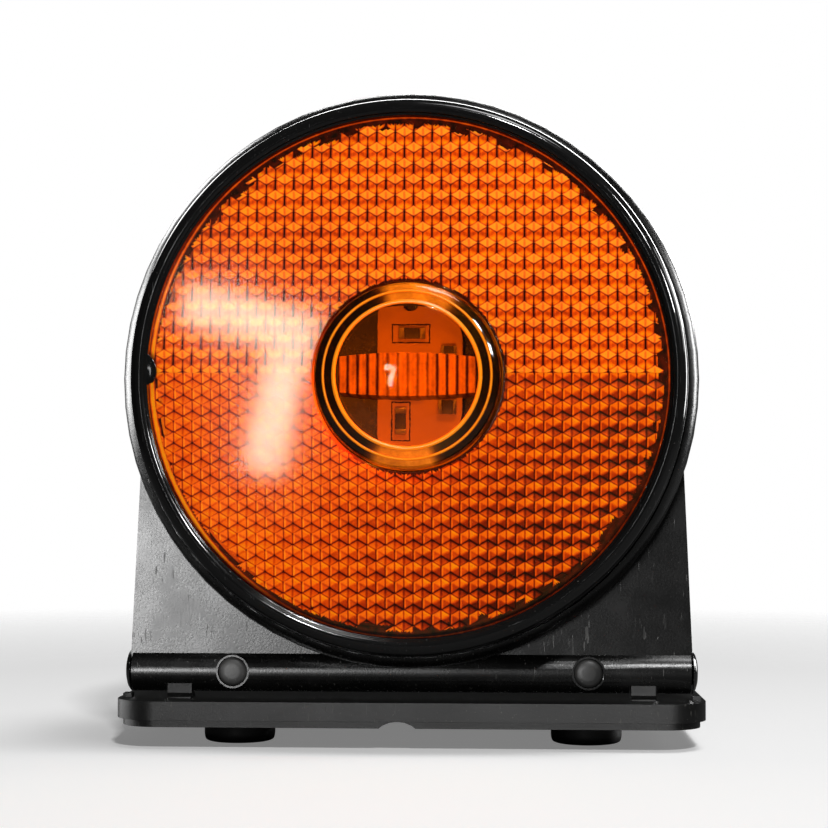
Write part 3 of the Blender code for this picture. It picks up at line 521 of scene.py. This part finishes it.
CELL = 2.94 * MM
ROW = CELL * math.sqrt(3) / 2
CORNER = CELL / math.sqrt(3)
PRISM_DEPTH = 1.20 * MM
PRISM_RISE = 0.27 * MM
SPLIT = 0.55 * MM
PRISM_RADIUS = 40.55 * MM
HOLE_RADIUS = 15.35 * MM
UPPER_START = (2.26 * MM, 2.62 * MM)
LOWER_START = (0.92 * MM, -0.39 * MM)
GRID = (0.0, 0.05, 0.12, 0.30, 0.50, 0.70, 0.88, 0.95, 1.0)


def near(value, middle, width):
    """1 at middle, falling smoothly to 0 at width from it."""
    t = max(0.0, 1 - abs(value - middle) / width)
    return t * t * (3 - 2 * t)


def upper_tone(facet, u, v):
    """Tone of a point of a cell above the split: painted light and shade, with bright lobes, a painted glint
    near one upper edge and dark lines along the edges.

    u and v run from the cell's middle along a facet's two sides.
    """
    if facet == 0:
        tone = 0.98 - 0.30 * near(u, v, 0.20) * (1 - 0.6 * near(u + v, 2.0, 0.8))
        tone -= 0.45 * max(near(u, 0, 0.13), near(v, 0, 0.13))
        tone -= 0.42 * max(near(u, 1, 0.11), near(v, 1, 0.11))
        tone += 0.18 * near(v, 0.84, 0.07)
        return tone
    tone = 0.74 + 0.06 * u
    tone -= 0.30 * near(u - v, 0.10, 0.34) * near(u, 0.5, 0.6)
    tone += 0.20 * near(v - u, 0.45, 0.4)
    tone -= 0.62 * near(u, 0, 0.15)
    tone -= 0.50 * near(v, 0, 0.12)
    tone -= 1.30 * near(u, 1, 0.17)
    tone -= 0.30 * near(v, 1, 0.12)
    return tone


def lower_tone(facet, u, v, depth):
    """The same for a cell below the split, where the facets are turned half round; depth is the amount of
    painted shade, darker towards the lower right, and 1 is the darkest.
    """
    outer = u > v
    if facet == 0:
        tone = 0.80 - (0.22 if v > u else 0.42) * depth
        tone -= 0.25 * near(u, v, 0.10)
        tone -= 0.70 * max(near(u, 0, 0.18), near(v, 0, 0.18))
        tone += 0.22 * near(v, 0.8, 0.15) - 0.35 * max(near(u, 1, 0.12), near(v, 1, 0.12))
        return tone
    if facet == 1:
        tone = 0.76 - 0.54 * depth if outer else 0.86
        tone += 0.22 * near(v, 0.84, 0.12) * (not outer)
    else:
        tone = 0.80 - 0.36 * depth if outer else 0.80
        tone += 0.40 * near(u, 0.84, 0.12)
    tone -= 0.30 * near(u, v, 0.12)
    tone -= 0.50 * near(u, 0, 0.13)
    tone -= 0.36 * near(v, 0, 0.15)
    tone -= 0.34 * near(u, 1, 0.12)
    tone -= 0.22 * near(v, 1, 0.10)
    return tone


def facet_points(centre, turn):
    """The three facets of a cell as (middle, side, side) points: (x, z, depth)."""
    corners = []
    for i in range(6):
        angle = math.radians(90 + 60 * i) + turn
        rise = 2 if i % 2 == 0 else 1
        corners.append(
            Vector(
                (
                    centre[0] + CORNER * math.cos(angle),
                    centre[1] + CORNER * math.sin(angle),
                    PRISM_DEPTH - rise * PRISM_RISE,
                )
            )
        )
    middle = Vector((*centre, PRISM_DEPTH))
    return [(middle, corners[a], corners[b]) for a, b in ((1, 5), (1, 3), (5, 3))]


def add_cell(work, layer, centre, upper, chance):
    turn = 0 if upper else math.pi
    shift = chance.uniform(-0.05, 0.05)
    # Painted shade: depth makes the cells below the split darker towards the lower right; here it is no
    # distance.
    depth = min(1.0, max(0.0, 0.45 + (0.7 * centre[0] - 0.6 * centre[1] - 14 * MM) / (34 * MM)))
    for facet, (middle, first, second) in enumerate(facet_points(centre, turn)):
        missing = chance.random() < 0.3
        rows = []
        for u in GRID:
            row = []
            for v in GRID:
                point = middle + (first - middle) * u + (second - middle) * v
                if (point.y < SPLIT) == upper:
                    point.y = SPLIT
                vert = work.verts.new((point.x, LENS_Y + point.z, LENS_Z + point.y))
                tone = upper_tone(facet, u, v) if upper else lower_tone(facet, u, v, depth)
                vert[layer] = min(1.0, max(0.0, tone + shift))
                row.append(vert)
            rows.append(row)
        for above, below in zip(rows, rows[1:]):
            for i in range(len(GRID) - 1):
                corners = (above[i], above[i + 1], below[i + 1], below[i])
                heights = [corner.co.z for corner in corners]
                reaches = [math.hypot(corner.co.x, corner.co.z - LENS_Z) for corner in corners]
                limit = PRISM_RADIUS - (0.9 * MM if missing else 0)
                inside = max(reaches) < limit and min(reaches) > HOLE_RADIUS
                if inside and max(heights) - min(heights) > 1e-6:
                    work.faces.new(corners)


def make_prisms():
    """Rows of three-sided prisms, standing on their corners above the split and upside down below it; each
    point's tone paints the light and shade on the facets.
    """
    chance = random.Random(11)
    work = bmesh.new()
    layer = work.verts.layers.float.new("tone")
    count = int(2 * PRISM_RADIUS / ROW) + 2
    for upper, (start_x, start_z) in ((True, UPPER_START), (False, LOWER_START)):
        for row in range(-1, count):
            z = start_z + row * ROW * (1 if upper else -1)
            offset = start_x + (CELL / 2 if row % 2 else 0)
            for column in range(-count, count + 1):
                x = offset + column * CELL
                if math.hypot(x, z) > PRISM_RADIUS + CELL:
                    continue
                if (upper and z > SPLIT - CORNER) or (not upper and z < SPLIT + CORNER):
                    add_cell(work, layer, (x, z), upper, chance)
    loose = [v for v in work.verts if not v.link_faces]
    bmesh.ops.delete(work, geom=loose, context="VERTS")
    mesh = bpy.data.meshes.new("reflector_prisms")
    for face in work.faces:
        face.normal_update()
        if face.normal.y > 0:
            face.normal_flip()
    work.to_mesh(mesh)
    work.free()
    return new_piece("reflector_prisms", mesh, "prisms", "head", (), 8)


def make_reflector():
    face = fillet(
        mm((15.1, 0), (42.0, 0), (42.3, 0.3), (42.3, 0.5), (15.1, 0.5)), 0.15 * MM, closed=True
    )
    turned(
        "reflector_face", face, "face", "head", ["reflector_lens"], 192, closed=True
    )
    wall = mm((40.9, 1.5), (42.3, 1.5), (42.3, 10.0), (40.5, 10.0), (40.5, 2.0), (15.1, 2.0), (15.1, 1.5))
    work = bmesh.new()
    layer = work.verts.layers.float.new("tone")
    lathe(work, wall, 192, Vector((0, LENS_Y, LENS_Z)), "front", True)
    # Painted light: the wall's tone is painted lit around 195 degrees, on the left, and painted dark
    # elsewhere.
    for vert in work.verts:
        angle = math.degrees(math.atan2(vert.co.z - LENS_Z, vert.co.x)) % 360
        lit = near(angle, 195, 75)
        vert[layer] = 0.10 + 0.72 * lit
    new_piece("reflector_wall", mesh_of(work, "reflector_wall"), "prisms", "head")
    work = bmesh.new()
    layer = work.verts.layers.float.new("tone")
    steps = 360
    lines = [40.0 + 0.1 * i for i in range(16)]
    rings = []
    for radius in lines:
        ring = []
        for step in range(steps):
            angle = 2 * math.pi * step / steps
            x = radius * MM * math.cos(angle)
            z = radius * MM * math.sin(angle)
            vert = work.verts.new((x, LENS_Y + 1.35 * MM, LENS_Z + z))
            # Painted light: a bright band inside the bezel's edge, widest on the left where the wall shows
            # lit; the noise adds random dark patches.
            width = 0.22 + 0.95 * near(math.degrees(angle), 194, 75)
            band = near(radius, 41.45 - width / 2, width / 2 + 0.12)
            patch = noise.noise(Vector((x, z, 0)) * 900)
            vert[layer] = min(1, max(0, 0.10 + 0.22 * patch + (0.42 + 0.6 * width) * band))
            ring.append(vert)
        rings.append(ring)
    for inner, outer in zip(rings, rings[1:]):
        for step in range(steps):
            after = (step + 1) % steps
            work.faces.new((inner[step], outer[step], outer[after], inner[after]))
    new_piece("reflector_margin", mesh_of(work, "reflector_margin"), "prisms", "head")


def make_bezel():
    profile = fillet(
        mm(
            (41.4, -0.3),
            (41.4, -0.62),
            (41.72, -0.72),
            (41.80, -1.10),
            (42.35, -1.40),
            (43.15, -1.32),
            (43.95, -0.55),
            (44.40, 1.6),
            (44.55, 4.3),
            (44.55, 6.6),
            (42.7, 6.6),
            (42.7, -0.3),
        ),
        0.55 * MM,
        5,
        True,
    )
    work = bmesh.new()
    lathe(work, profile, 256, Vector((0, LENS_Y, LENS_Z)), "front", True)
    tab = mm(
        (-42.3, 3.7),
        (-41.0, 3.4),
        (-40.15, 2.2),
        (-39.8, 0.6),
        (-40.2, -0.9),
        (-41.2, -1.4),
        (-42.3, -1.9),
    )
    outline = fillet(tab, 0.8 * MM, 3, True)
    outline = [(x, LENS_Z + z) for x, z in outline]
    add_slab(work, outline, LENS_Y - 0.55 * MM, LENS_Y - 0.05 * MM, 0.10 * MM)
    mesh = mesh_of(work, "bezel_ring_look")
    new_piece("bezel_ring_look", mesh, "gloss", "head", ["bezel_ring"], 40)


# ---------------------------------------------------------------- marker lamp

FLUTES = 14
BAND_MIDDLE = 3.45 * MM
BAND_END = 2.80 * MM
BAND_LIFT = 0.10 * MM


def make_marker():
    profile = fillet(
        mm(
            (0, -4.95),
            (4.0, -4.75),
            (8.0, -4.10),
            (11.2, -3.25),
            (11.9, -3.02),
            (13.0, -2.75),
            (13.5, -2.60),
            (14.4, -2.10),
            (14.8, -0.8),
            (14.8, 2.3),
            (17.4, 2.3),
            (17.4, 3.9),
            (13.4, 3.9),
            (13.4, -0.5),
            (12.6, -1.2),
            (11.2, -2.05),
            (8.0, -2.90),
            (4.0, -3.55),
            (0, -3.75),
        ),
        0.6 * MM,
        4,
    )
    turned("marker_lens_look", profile, "dome", "head", ["marker_lens"], 128)

    cup = fillet(
        mm((4.0, 10.2), (15.4, 10.2), (15.4, 4.2), (17.4, 4.2), (17.4, 11.7), (4.0, 11.7)),
        0.25 * MM,
        closed=True,
    )
    turned("lamp_cup_look", cup, "shell", "head", ["lamp_cup"], 96, closed=True)
    softened("led_board", "board", 0.12)
    make_lens_rings()
    make_band()

    low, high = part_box("led_package")
    work = bmesh.new()
    rounded_box(work, low, high, 0.25 * MM)
    new_piece("led_case", mesh_of(work, "led_case"), "ceramic", "head", ["led_package"])
    dome = mm((0, -0.55), (0.9, -0.45), (1.6, -0.1), (1.8, 0.25), (0, 0.3))
    middle = Vector(((low.x + high.x) / 2, low.y, (low.z + high.z) / 2))
    turned("led_phosphor", dome, "phosphor", "head", (), 48, middle)

    for node in ("resistor_upper", "resistor_lower"):
        make_chip(node, 0.20, 0.55 * MM, 0.5 * MM)
    make_chip("board_diode", 0.18)
    make_chip("board_capacitor", 0.18)
    board_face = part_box("led_board")[0].y
    make_print_frame("print_upper", Vector((0.1 * MM, board_face, LENS_Z + 7.35 * MM)), 3.0 * MM, 1.45 * MM)
    make_print_frame("print_lower", Vector((-1.5 * MM, board_face, LENS_Z - 6.75 * MM)), 1.45 * MM, 3.1 * MM)


def make_lens_rings():
    """Opaque rings for the clear lens's stepped edge.

    Two are its moulded lips. The slope has painted on it what is seen through it: the dark cup at the sides,
    the board at the top and bottom.
    """
    lips = (
        ("lens_lip_inner", 11.15, 11.85, -3.40),
        ("lens_lip_outer", 13.0, 13.45, -2.92),
    )
    for name, inner, outer, front in lips:
        profile = mm(
            (inner, front + 0.3),
            ((inner + outer) / 2, front),
            (outer, front + 0.3),
            (outer, front + 0.6),
            (inner, front + 0.6),
        )
        profile = fillet(profile, 0.12 * MM, 3, True)
        lip = turned(name, profile, "lip", "head", (), 160, closed=True)
        lip.visible_shadow = False
    work = bmesh.new()
    layer = work.verts.layers.float.new("tone")
    profile = mm(
        (11.2, -2.75),
        (11.9, -2.60),
        (13.2, -2.30),
        (14.25, -1.75),
        (14.62, -0.7),
        (14.62, 2.0),
        (14.3, 2.0),
        (11.2, -2.1),
    )
    lathe(work, profile, 240, Vector((0, LENS_Y, LENS_Z)), "front", True)
    for vert in work.verts:
        x = vert.co.x
        z = vert.co.z - LENS_Z
        angle = math.degrees(math.atan2(z, x)) % 360
        # Painted view through the lens, not lamp light: lit is 1 at the top and bottom, where the board shows
        # through, and the sides stay dark for the cup.
        lit = max(near(angle, 82, 34), near(angle, 268, 30))
        streak = noise.noise(Vector((x, z, 0)) * 350)
        vert[layer] = min(1, max(0, 0.02 + 0.05 * streak + (0.66 + 0.14 * streak) * min(1, 2.6 * lit)))
    slope = new_piece("lens_slope", mesh_of(work, "lens_slope"), "inside", "head")
    slope.visible_shadow = False


def make_band():
    """The fluted bar across the lens: rounded ribs, a little taller in the middle, with painted shade in the
    valleys.
    """
    low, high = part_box("optic_band")
    half = (high.x - low.x) / 2
    middle_x = (high.x + low.x) / 2
    middle_z = (high.z + low.z) / 2 + BAND_LIFT
    work = bmesh.new()
    layer = work.verts.layers.float.new("tone")
    steps = 10 * FLUTES
    levels = (-1.0, -0.97, -0.5, 0.0, 0.5, 0.97, 1.0)
    columns = []
    for step in range(steps + 1):
        share = 2 * step / steps - 1
        x = middle_x + share * half
        phase = (step % 10) / 10
        valley = near(phase, 0, 0.22) + near(phase, 1, 0.22)
        tall = BAND_END + (BAND_MIDDLE - BAND_END) * (1 - share * share)
        column = []
        for level in levels:
            z = middle_z + level * tall
            y = low.y + 0.22 * MM * valley + (0.2 * MM if abs(level) == 1 else 0) + 0.5 * MM * share * share
            vert = work.verts.new((x, y, z))
            blotch = noise.noise(Vector((x * 900, z * 350, 3)))
            side = min(1, max(0, (abs(share) - 0.25) / 0.2))
            # Painted shade and light: the tone darkens in the flute valleys, more towards the ends, lightens
            # along each rib and darkens at the lower edge; the blotches are random tone.
            tone = 0.60 + 0.16 * blotch - (0.16 + 0.36 * side) * valley + 0.10 * near(phase, 0.35, 0.2)
            vert[layer] = min(1, max(0, tone - 0.12 * (level == -1)))
            column.append(vert)
        for level in (1.0, -1.0):
            vert = work.verts.new((x, high.y, middle_z + level * tall))
            vert[layer] = 0.30
            column.append(vert)
        columns.append(column)
    for before, after in zip(columns, columns[1:]):
        for i in range(len(before)):
            j = (i + 1) % len(before)
            work.faces.new((before[i], after[i], after[j], before[j]))
    work.faces.new(columns[0])
    work.faces.new(list(reversed(columns[-1])))
    mesh = mesh_of(work, "optic_band_look")
    band = new_piece(
        "optic_band_look", mesh, "inside", "head", ["optic_band"], 50
    )
    band.visible_shadow = False


def make_chip(node, share, rise=0.0, grow=0.0):
    """A chip part: a dark body with two tinned ends on its longer side."""
    low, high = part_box(node)
    long_way = 0 if high.x - low.x > high.z - low.z else 2
    wide = Vector((0.12 * grow, 0, 0.12 * grow))
    wide[long_way] = grow
    low = low - wide + Vector((0, 0, rise))
    high = high + wide + Vector((0, 0, rise))
    work = bmesh.new()
    rounded_box(work, low, high, 0.08 * MM)
    new_piece(node + "_look", mesh_of(work, node), "chip", "head", [node])
    length = high[long_way] - low[long_way]
    for end in (0, 1):
        start = low.copy()
        stop = high.copy()
        if end == 0:
            stop[long_way] = low[long_way] + share * length
        else:
            start[long_way] = high[long_way] - share * length
        for axis in range(3):
            start[axis] -= 0.04 * MM
            stop[axis] += 0.04 * MM
        work = bmesh.new()
        rounded_box(work, start, stop, 0.08 * MM)
        name = f"{node}_end_{end + 1}"
        new_piece(name, mesh_of(work, name), "tin", "head")


def make_print_frame(name, middle, half_x, half_z):
    """A thin printed rectangle on the board's face."""
    line = 0.11 * MM
    thick = 0.03 * MM
    work = bmesh.new()
    for side in (-1, 1):
        x = middle.x + side * half_x
        z = middle.z + side * half_z
        rounded_box(
            work,
            (x - line, middle.y - thick, middle.z - half_z - line),
            (x + line, middle.y + thick, middle.z + half_z + line),
            0.01 * MM,
        )
        rounded_box(
            work,
            (middle.x - half_x - line, middle.y - thick, z - line),
            (middle.x + half_x + line, middle.y + thick, z + line),
            0.01 * MM,
        )
    new_piece(name, mesh_of(work, name), "print", "head")


# ---------------------------------------------------------------- case, hinge and foot plate


def make_studs():
    for side in ("left", "right"):
        node = f"friction_plug_{side}"
        low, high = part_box(node)
        middle = Vector(((low.x + high.x) / 2, low.y, (low.z + high.z) / 2))
        radius = (high.x - low.x) / 2 + 0.22 * MM
        depth = high.y - low.y
        profile = fillet(
            [
                (0, 0),
                (0.55 * radius, 0.00006),
                (radius - 0.0004, 0.00024),
                (radius, 0.00065),
                (radius, depth),
                (0, depth),
            ],
            0.0002,
            3,
        )
        turned(f"{node}_look", profile, "stud", "head", [node], 64, middle)


def make_feet():
    for row in ("front", "rear"):
        for side in ("left", "right"):
            node = f"rubber_foot_{row}_{side}"
            low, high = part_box(node)
            middle = Vector(((low.x + high.x) / 2, (low.y + high.y) / 2, 0))
            profile = fillet(
                mm(
                    (0, 6.2),
                    (2.2, 6.2),
                    (2.2, 3.4),
                    (5.6, 3.4),
                    (5.9, 3.1),
                    (5.9, 1.1),
                    (5.7, 0.25),
                    (5.0, 0.0),
                    (2.2, 0.0),
                    (1.9, 0.35),
                    (0, 0.35),
                ),
                0.45 * MM,
                4,
            )
            turned(f"{node}_look", profile, "rubber", "base", [node], 64, middle, "up")


def make_caps():
    for side in ("left", "right"):
        node = f"hinge_cap_{side}"
        low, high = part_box(node)
        middle = Vector((0, (low.y + high.y) / 2, (low.z + high.z) / 2))
        profile = fillet(
            mm(
                (0, 46.9),
                (1.9, 46.8),
                (2.9, 46.5),
                (3.5, 46.05),
                (3.5, 45.95),
                (2.0, 45.95),
                (2.0, 43.0),
                (0, 43.0),
            ),
            0.15 * MM,
            3,
        )
        turned(f"{node}_look", profile, "gloss", "head", [node], 64, middle, side)


def make_case():
    softened("housing_shell", "shell", 0.18, 2, 32)
    softened("base_plate", "plate", 0.30, 3, 40)
    softened("rear_cover", "shell", 0.35, 3, 40)
    softened("rear_gasket", "rubber", 0.10, 2, 40)
    softened("reflector_seal", "rubber", 0.10, 2, 50)
    softened("power_button", "button", 0.15, 2, 25)
    softened("hinge_rod", "steel", 0.15, 2, 40)


def make_screws():
    """Plain pan heads on their shanks."""
    for level in ("lower", "upper"):
        for side in ("left", "right"):
            node = f"cover_screw_{level}_{side}"
            low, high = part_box(node)
            middle = Vector(((low.x + high.x) / 2, high.y, (low.z + high.z) / 2))
            profile = fillet(
                mm(
                    (0, 0),
                    (1.5, -0.08),
                    (2.3, -0.5),
                    (2.6, -1.1),
                    (2.6, -1.5),
                    (1.2, -1.5),
                    (1.2, -11.0),
                    (0, -12.0),
                ),
                0.25 * MM,
                4,
            )
            turned(f"{node}_look", profile, "screw", "head", [node], 48, middle, "back")


def dress_inside():
    """Finishes for the CAD nodes inside the case."""
    looks = {
        "battery_holder": "tray",
        "battery_upper": "cell",
        "battery_lower": "cell",
        "battery_spring_upper": "steel",
        "battery_spring_lower": "steel",
        "contact_bridge": "steel",
        "terminal_positive": "steel",
        "terminal_negative": "steel",
        "driver_board": "board",
        "driver_chip": "chip",
        "switch_body": "chip",
        "lead_positive": "wire_red",
        "lead_negative": "wire_black",
    }
    for node, look in looks.items():
        mesh = NODES[node].data
        for index in range(len(mesh.materials)):
            mesh.materials[index] = LOOKS[look]


# ---------------------------------------------------------------- stage, lights and camera


def make_stage():
    work = bmesh.new()
    bmesh.ops.create_circle(work, cap_ends=True, radius=0.5, segments=96)
    mesh = bpy.data.meshes.new("floor")
    work.to_mesh(mesh)
    work.free()
    floor = bpy.data.objects.new("floor", mesh)
    bpy.context.scene.collection.objects.link(floor)
    floor.location.z = -0.0001
    material, tree, shader = new_material("pale_floor")
    shader.inputs["Base Color"].default_value = (0.92, 0.92, 0.92, 1)
    shader.inputs["Roughness"].default_value = 0.8
    shader.inputs["Specular IOR Level"].default_value = 0.1
    shader.inputs["Emission Color"].default_value = (1, 1, 1, 1)
    shader.inputs["Emission Strength"].default_value = 0.20
    reach = add(tree, "VectorMath", {0: add(tree, "TexCoord").outputs["Object"]}, operation="LENGTH")
    fade = ramp(tree, reach.outputs["Value"], [(0.16, 0), (0.42, 1)])
    clear = add(tree, "BsdfTransparent")
    dim = add(tree, "BsdfDiffuse", {"Color": (0.16, 0.16, 0.16, 1)})
    seen = add(tree, "LightPath").outputs["Is Camera Ray"]
    cloth = add(tree, "MixShader", {0: seen, 1: dim.outputs[0], 2: shader.outputs[0]})
    both = add(tree, "MixShader", {0: fade, 1: cloth.outputs[0], 2: clear.outputs[0]})
    tree.links.new(both.outputs[0], tree.nodes["Material Output"].inputs["Surface"])
    mesh.materials.append(material)

    world = bpy.data.worlds.new("studio")
    world.use_nodes = True
    tree = world.node_tree
    seen = add(tree, "LightPath").outputs["Is Camera Ray"]
    room = add(tree, "Background", {"Color": (1, 1, 1, 1), "Strength": 0.025})
    pale = add(tree, "Background", {"Color": (1, 1, 1, 1), "Strength": 1.0})
    mixed = add(tree, "MixShader", {0: seen, 1: room.outputs[0], 2: pale.outputs[0]})
    tree.links.new(mixed.outputs[0], tree.nodes["World Output"].inputs["Surface"])
    bpy.context.scene.world = world


def lamp(name, place, target, size, power, spread=180, colour=(1, 1, 1)):
    """A soft rectangular lamp that faces target."""
    light = bpy.data.lights.new(name, "AREA")
    light.shape = "RECTANGLE"
    light.size, light.size_y = size
    light.energy = power
    light.color = colour
    light.spread = math.radians(spread)
    obj = bpy.data.objects.new(name, light)
    obj.location = place
    obj.rotation_mode = "QUATERNION"
    obj.rotation_quaternion = (Vector(target) - Vector(place)).to_track_quat("-Z", "Y")
    bpy.context.scene.collection.objects.link(obj)
    return obj


def light_only(light, name, looks):
    """Keeps a lamp for the pieces that wear some looks, and lets its light past the floor."""
    wanted = {LOOKS[look] for look in looks}
    lit = bpy.data.collections.new(name)
    solid = bpy.data.collections.new(name + "_blockers")
    for obj in bpy.context.scene.objects:
        if obj.type != "MESH" or obj.name == "floor":
            continue
        solid.objects.link(obj)
        if wanted & {slot.material for slot in obj.material_slots}:
            lit.objects.link(obj)
    light.light_linking.receiver_collection = lit
    light.light_linking.blocker_collection = solid


def make_lights():
    middle = (0, 0, 0.055)
    lamp("front_high", (0.22, -0.90, 0.80), middle, (0.10, 0.07), 6.5)
    low = lamp("front_low", (-0.33, -1.03, 0.02), (-0.03, 0, 0.03), (0.26, 0.20), 5.5)
    fill = lamp("lens_fill", (0.04, -0.95, -0.32), middle, (0.30, 0.14), 8.0)
    left = lamp("side_left", (-0.85, 0.25, 0.18), middle, (0.90, 0.50), 6.0)
    lamp("top", (0.25, -0.20, 0.95), middle, (0.45, 0.30), 4.0)
    lamp("side_right", (0.90, 0.15, 0.40), middle, (0.12, 0.40), 0.7)
    rear = (
        lamp("back", (0.15, 0.95, 0.50), middle, (0.80, 0.60), 16.0),
        lamp("back_left", (-0.75, 0.75, 0.70), middle, (0.60, 0.40), 6.0),
        lamp("back_right", (0.85, 0.55, 0.25), middle, (0.30, 0.50), 6.0),
    )
    rim = lamp("rim_left", (-0.85, 0.16, 0.20), (-0.04, 0, 0.05), (0.50, 0.40), 5.5)
    plate_top = lamp("plate_top", (0.0, 0.35, 0.95), middle, (0.50, 0.30), 3.0)
    upper = lamp("window_upper", (-0.159, -1.03, 0.168), middle, (0.095, 0.028), 0.086)
    lower = lamp("window_lower", (-0.142, -1.03, 0.105), middle, (0.026, 0.084), 0.077)
    for light in rear:
        light_only(light, light.name + "_parts", [look for look in LOOKS if look != "plate"])
    light_only(rim, "rim_parts", ("shell", "stud"))
    light_only(plate_top, "plate_parts", ("plate",))
    plate_low = lamp("plate_low", (0.12, -1.03, 0.02), (0.03, 0, 0.01), (0.90, 0.20), 2.8)
    light_only(plate_low, "plate_front_parts", ("plate",))
    light_only(low, "satin_parts", ("shell", "stud"))
    light_only(left, "side_parts", ("shell", "plate"))
    light_only(fill, "amber_parts", ("prisms", "inside", "lip", "board", "chip"))
    for name, place in (("spark_high", (0.60, -0.62, 0.58)), ("spark_right", (0.80, -0.60, 0.40))):
        spark = lamp(name, place, middle, (0.16, 0.12), 5.0)
        light_only(spark, name + "_parts", ("dome", "gloss"))
    for light, tilt in ((upper, 14.5), (lower, 12)):
        light.rotation_mode = "XYZ"
        light.rotation_euler = (math.radians(90), math.radians(tilt), 0)


def make_camera():
    data = bpy.data.cameras.new("camera")
    data.sensor_width = 36
    data.lens = 82.81
    data.shift_x = -0.03
    data.shift_y = 0.03
    data.clip_start = 0.01
    data.clip_end = 20
    camera = bpy.data.objects.new("camera", data)
    bpy.context.scene.collection.objects.link(camera)
    camera.location = (0.01527, -0.33210, 0.03900)
    yaw, pitch, roll = (math.radians(a) for a in (1.964, 2.072, 0.160))
    camera.rotation_euler = (math.radians(90) + pitch, -roll, yaw)
    camera.rotation_mode = "XYZ"
    bpy.context.scene.camera = camera


make_prisms()
make_reflector()
make_bezel()
make_marker()
make_case()
make_studs()
make_feet()
make_caps()
make_screws()
dress_inside()
make_stage()
make_lights()
make_camera()
bpy.context.scene.view_settings.view_transform = "Standard"
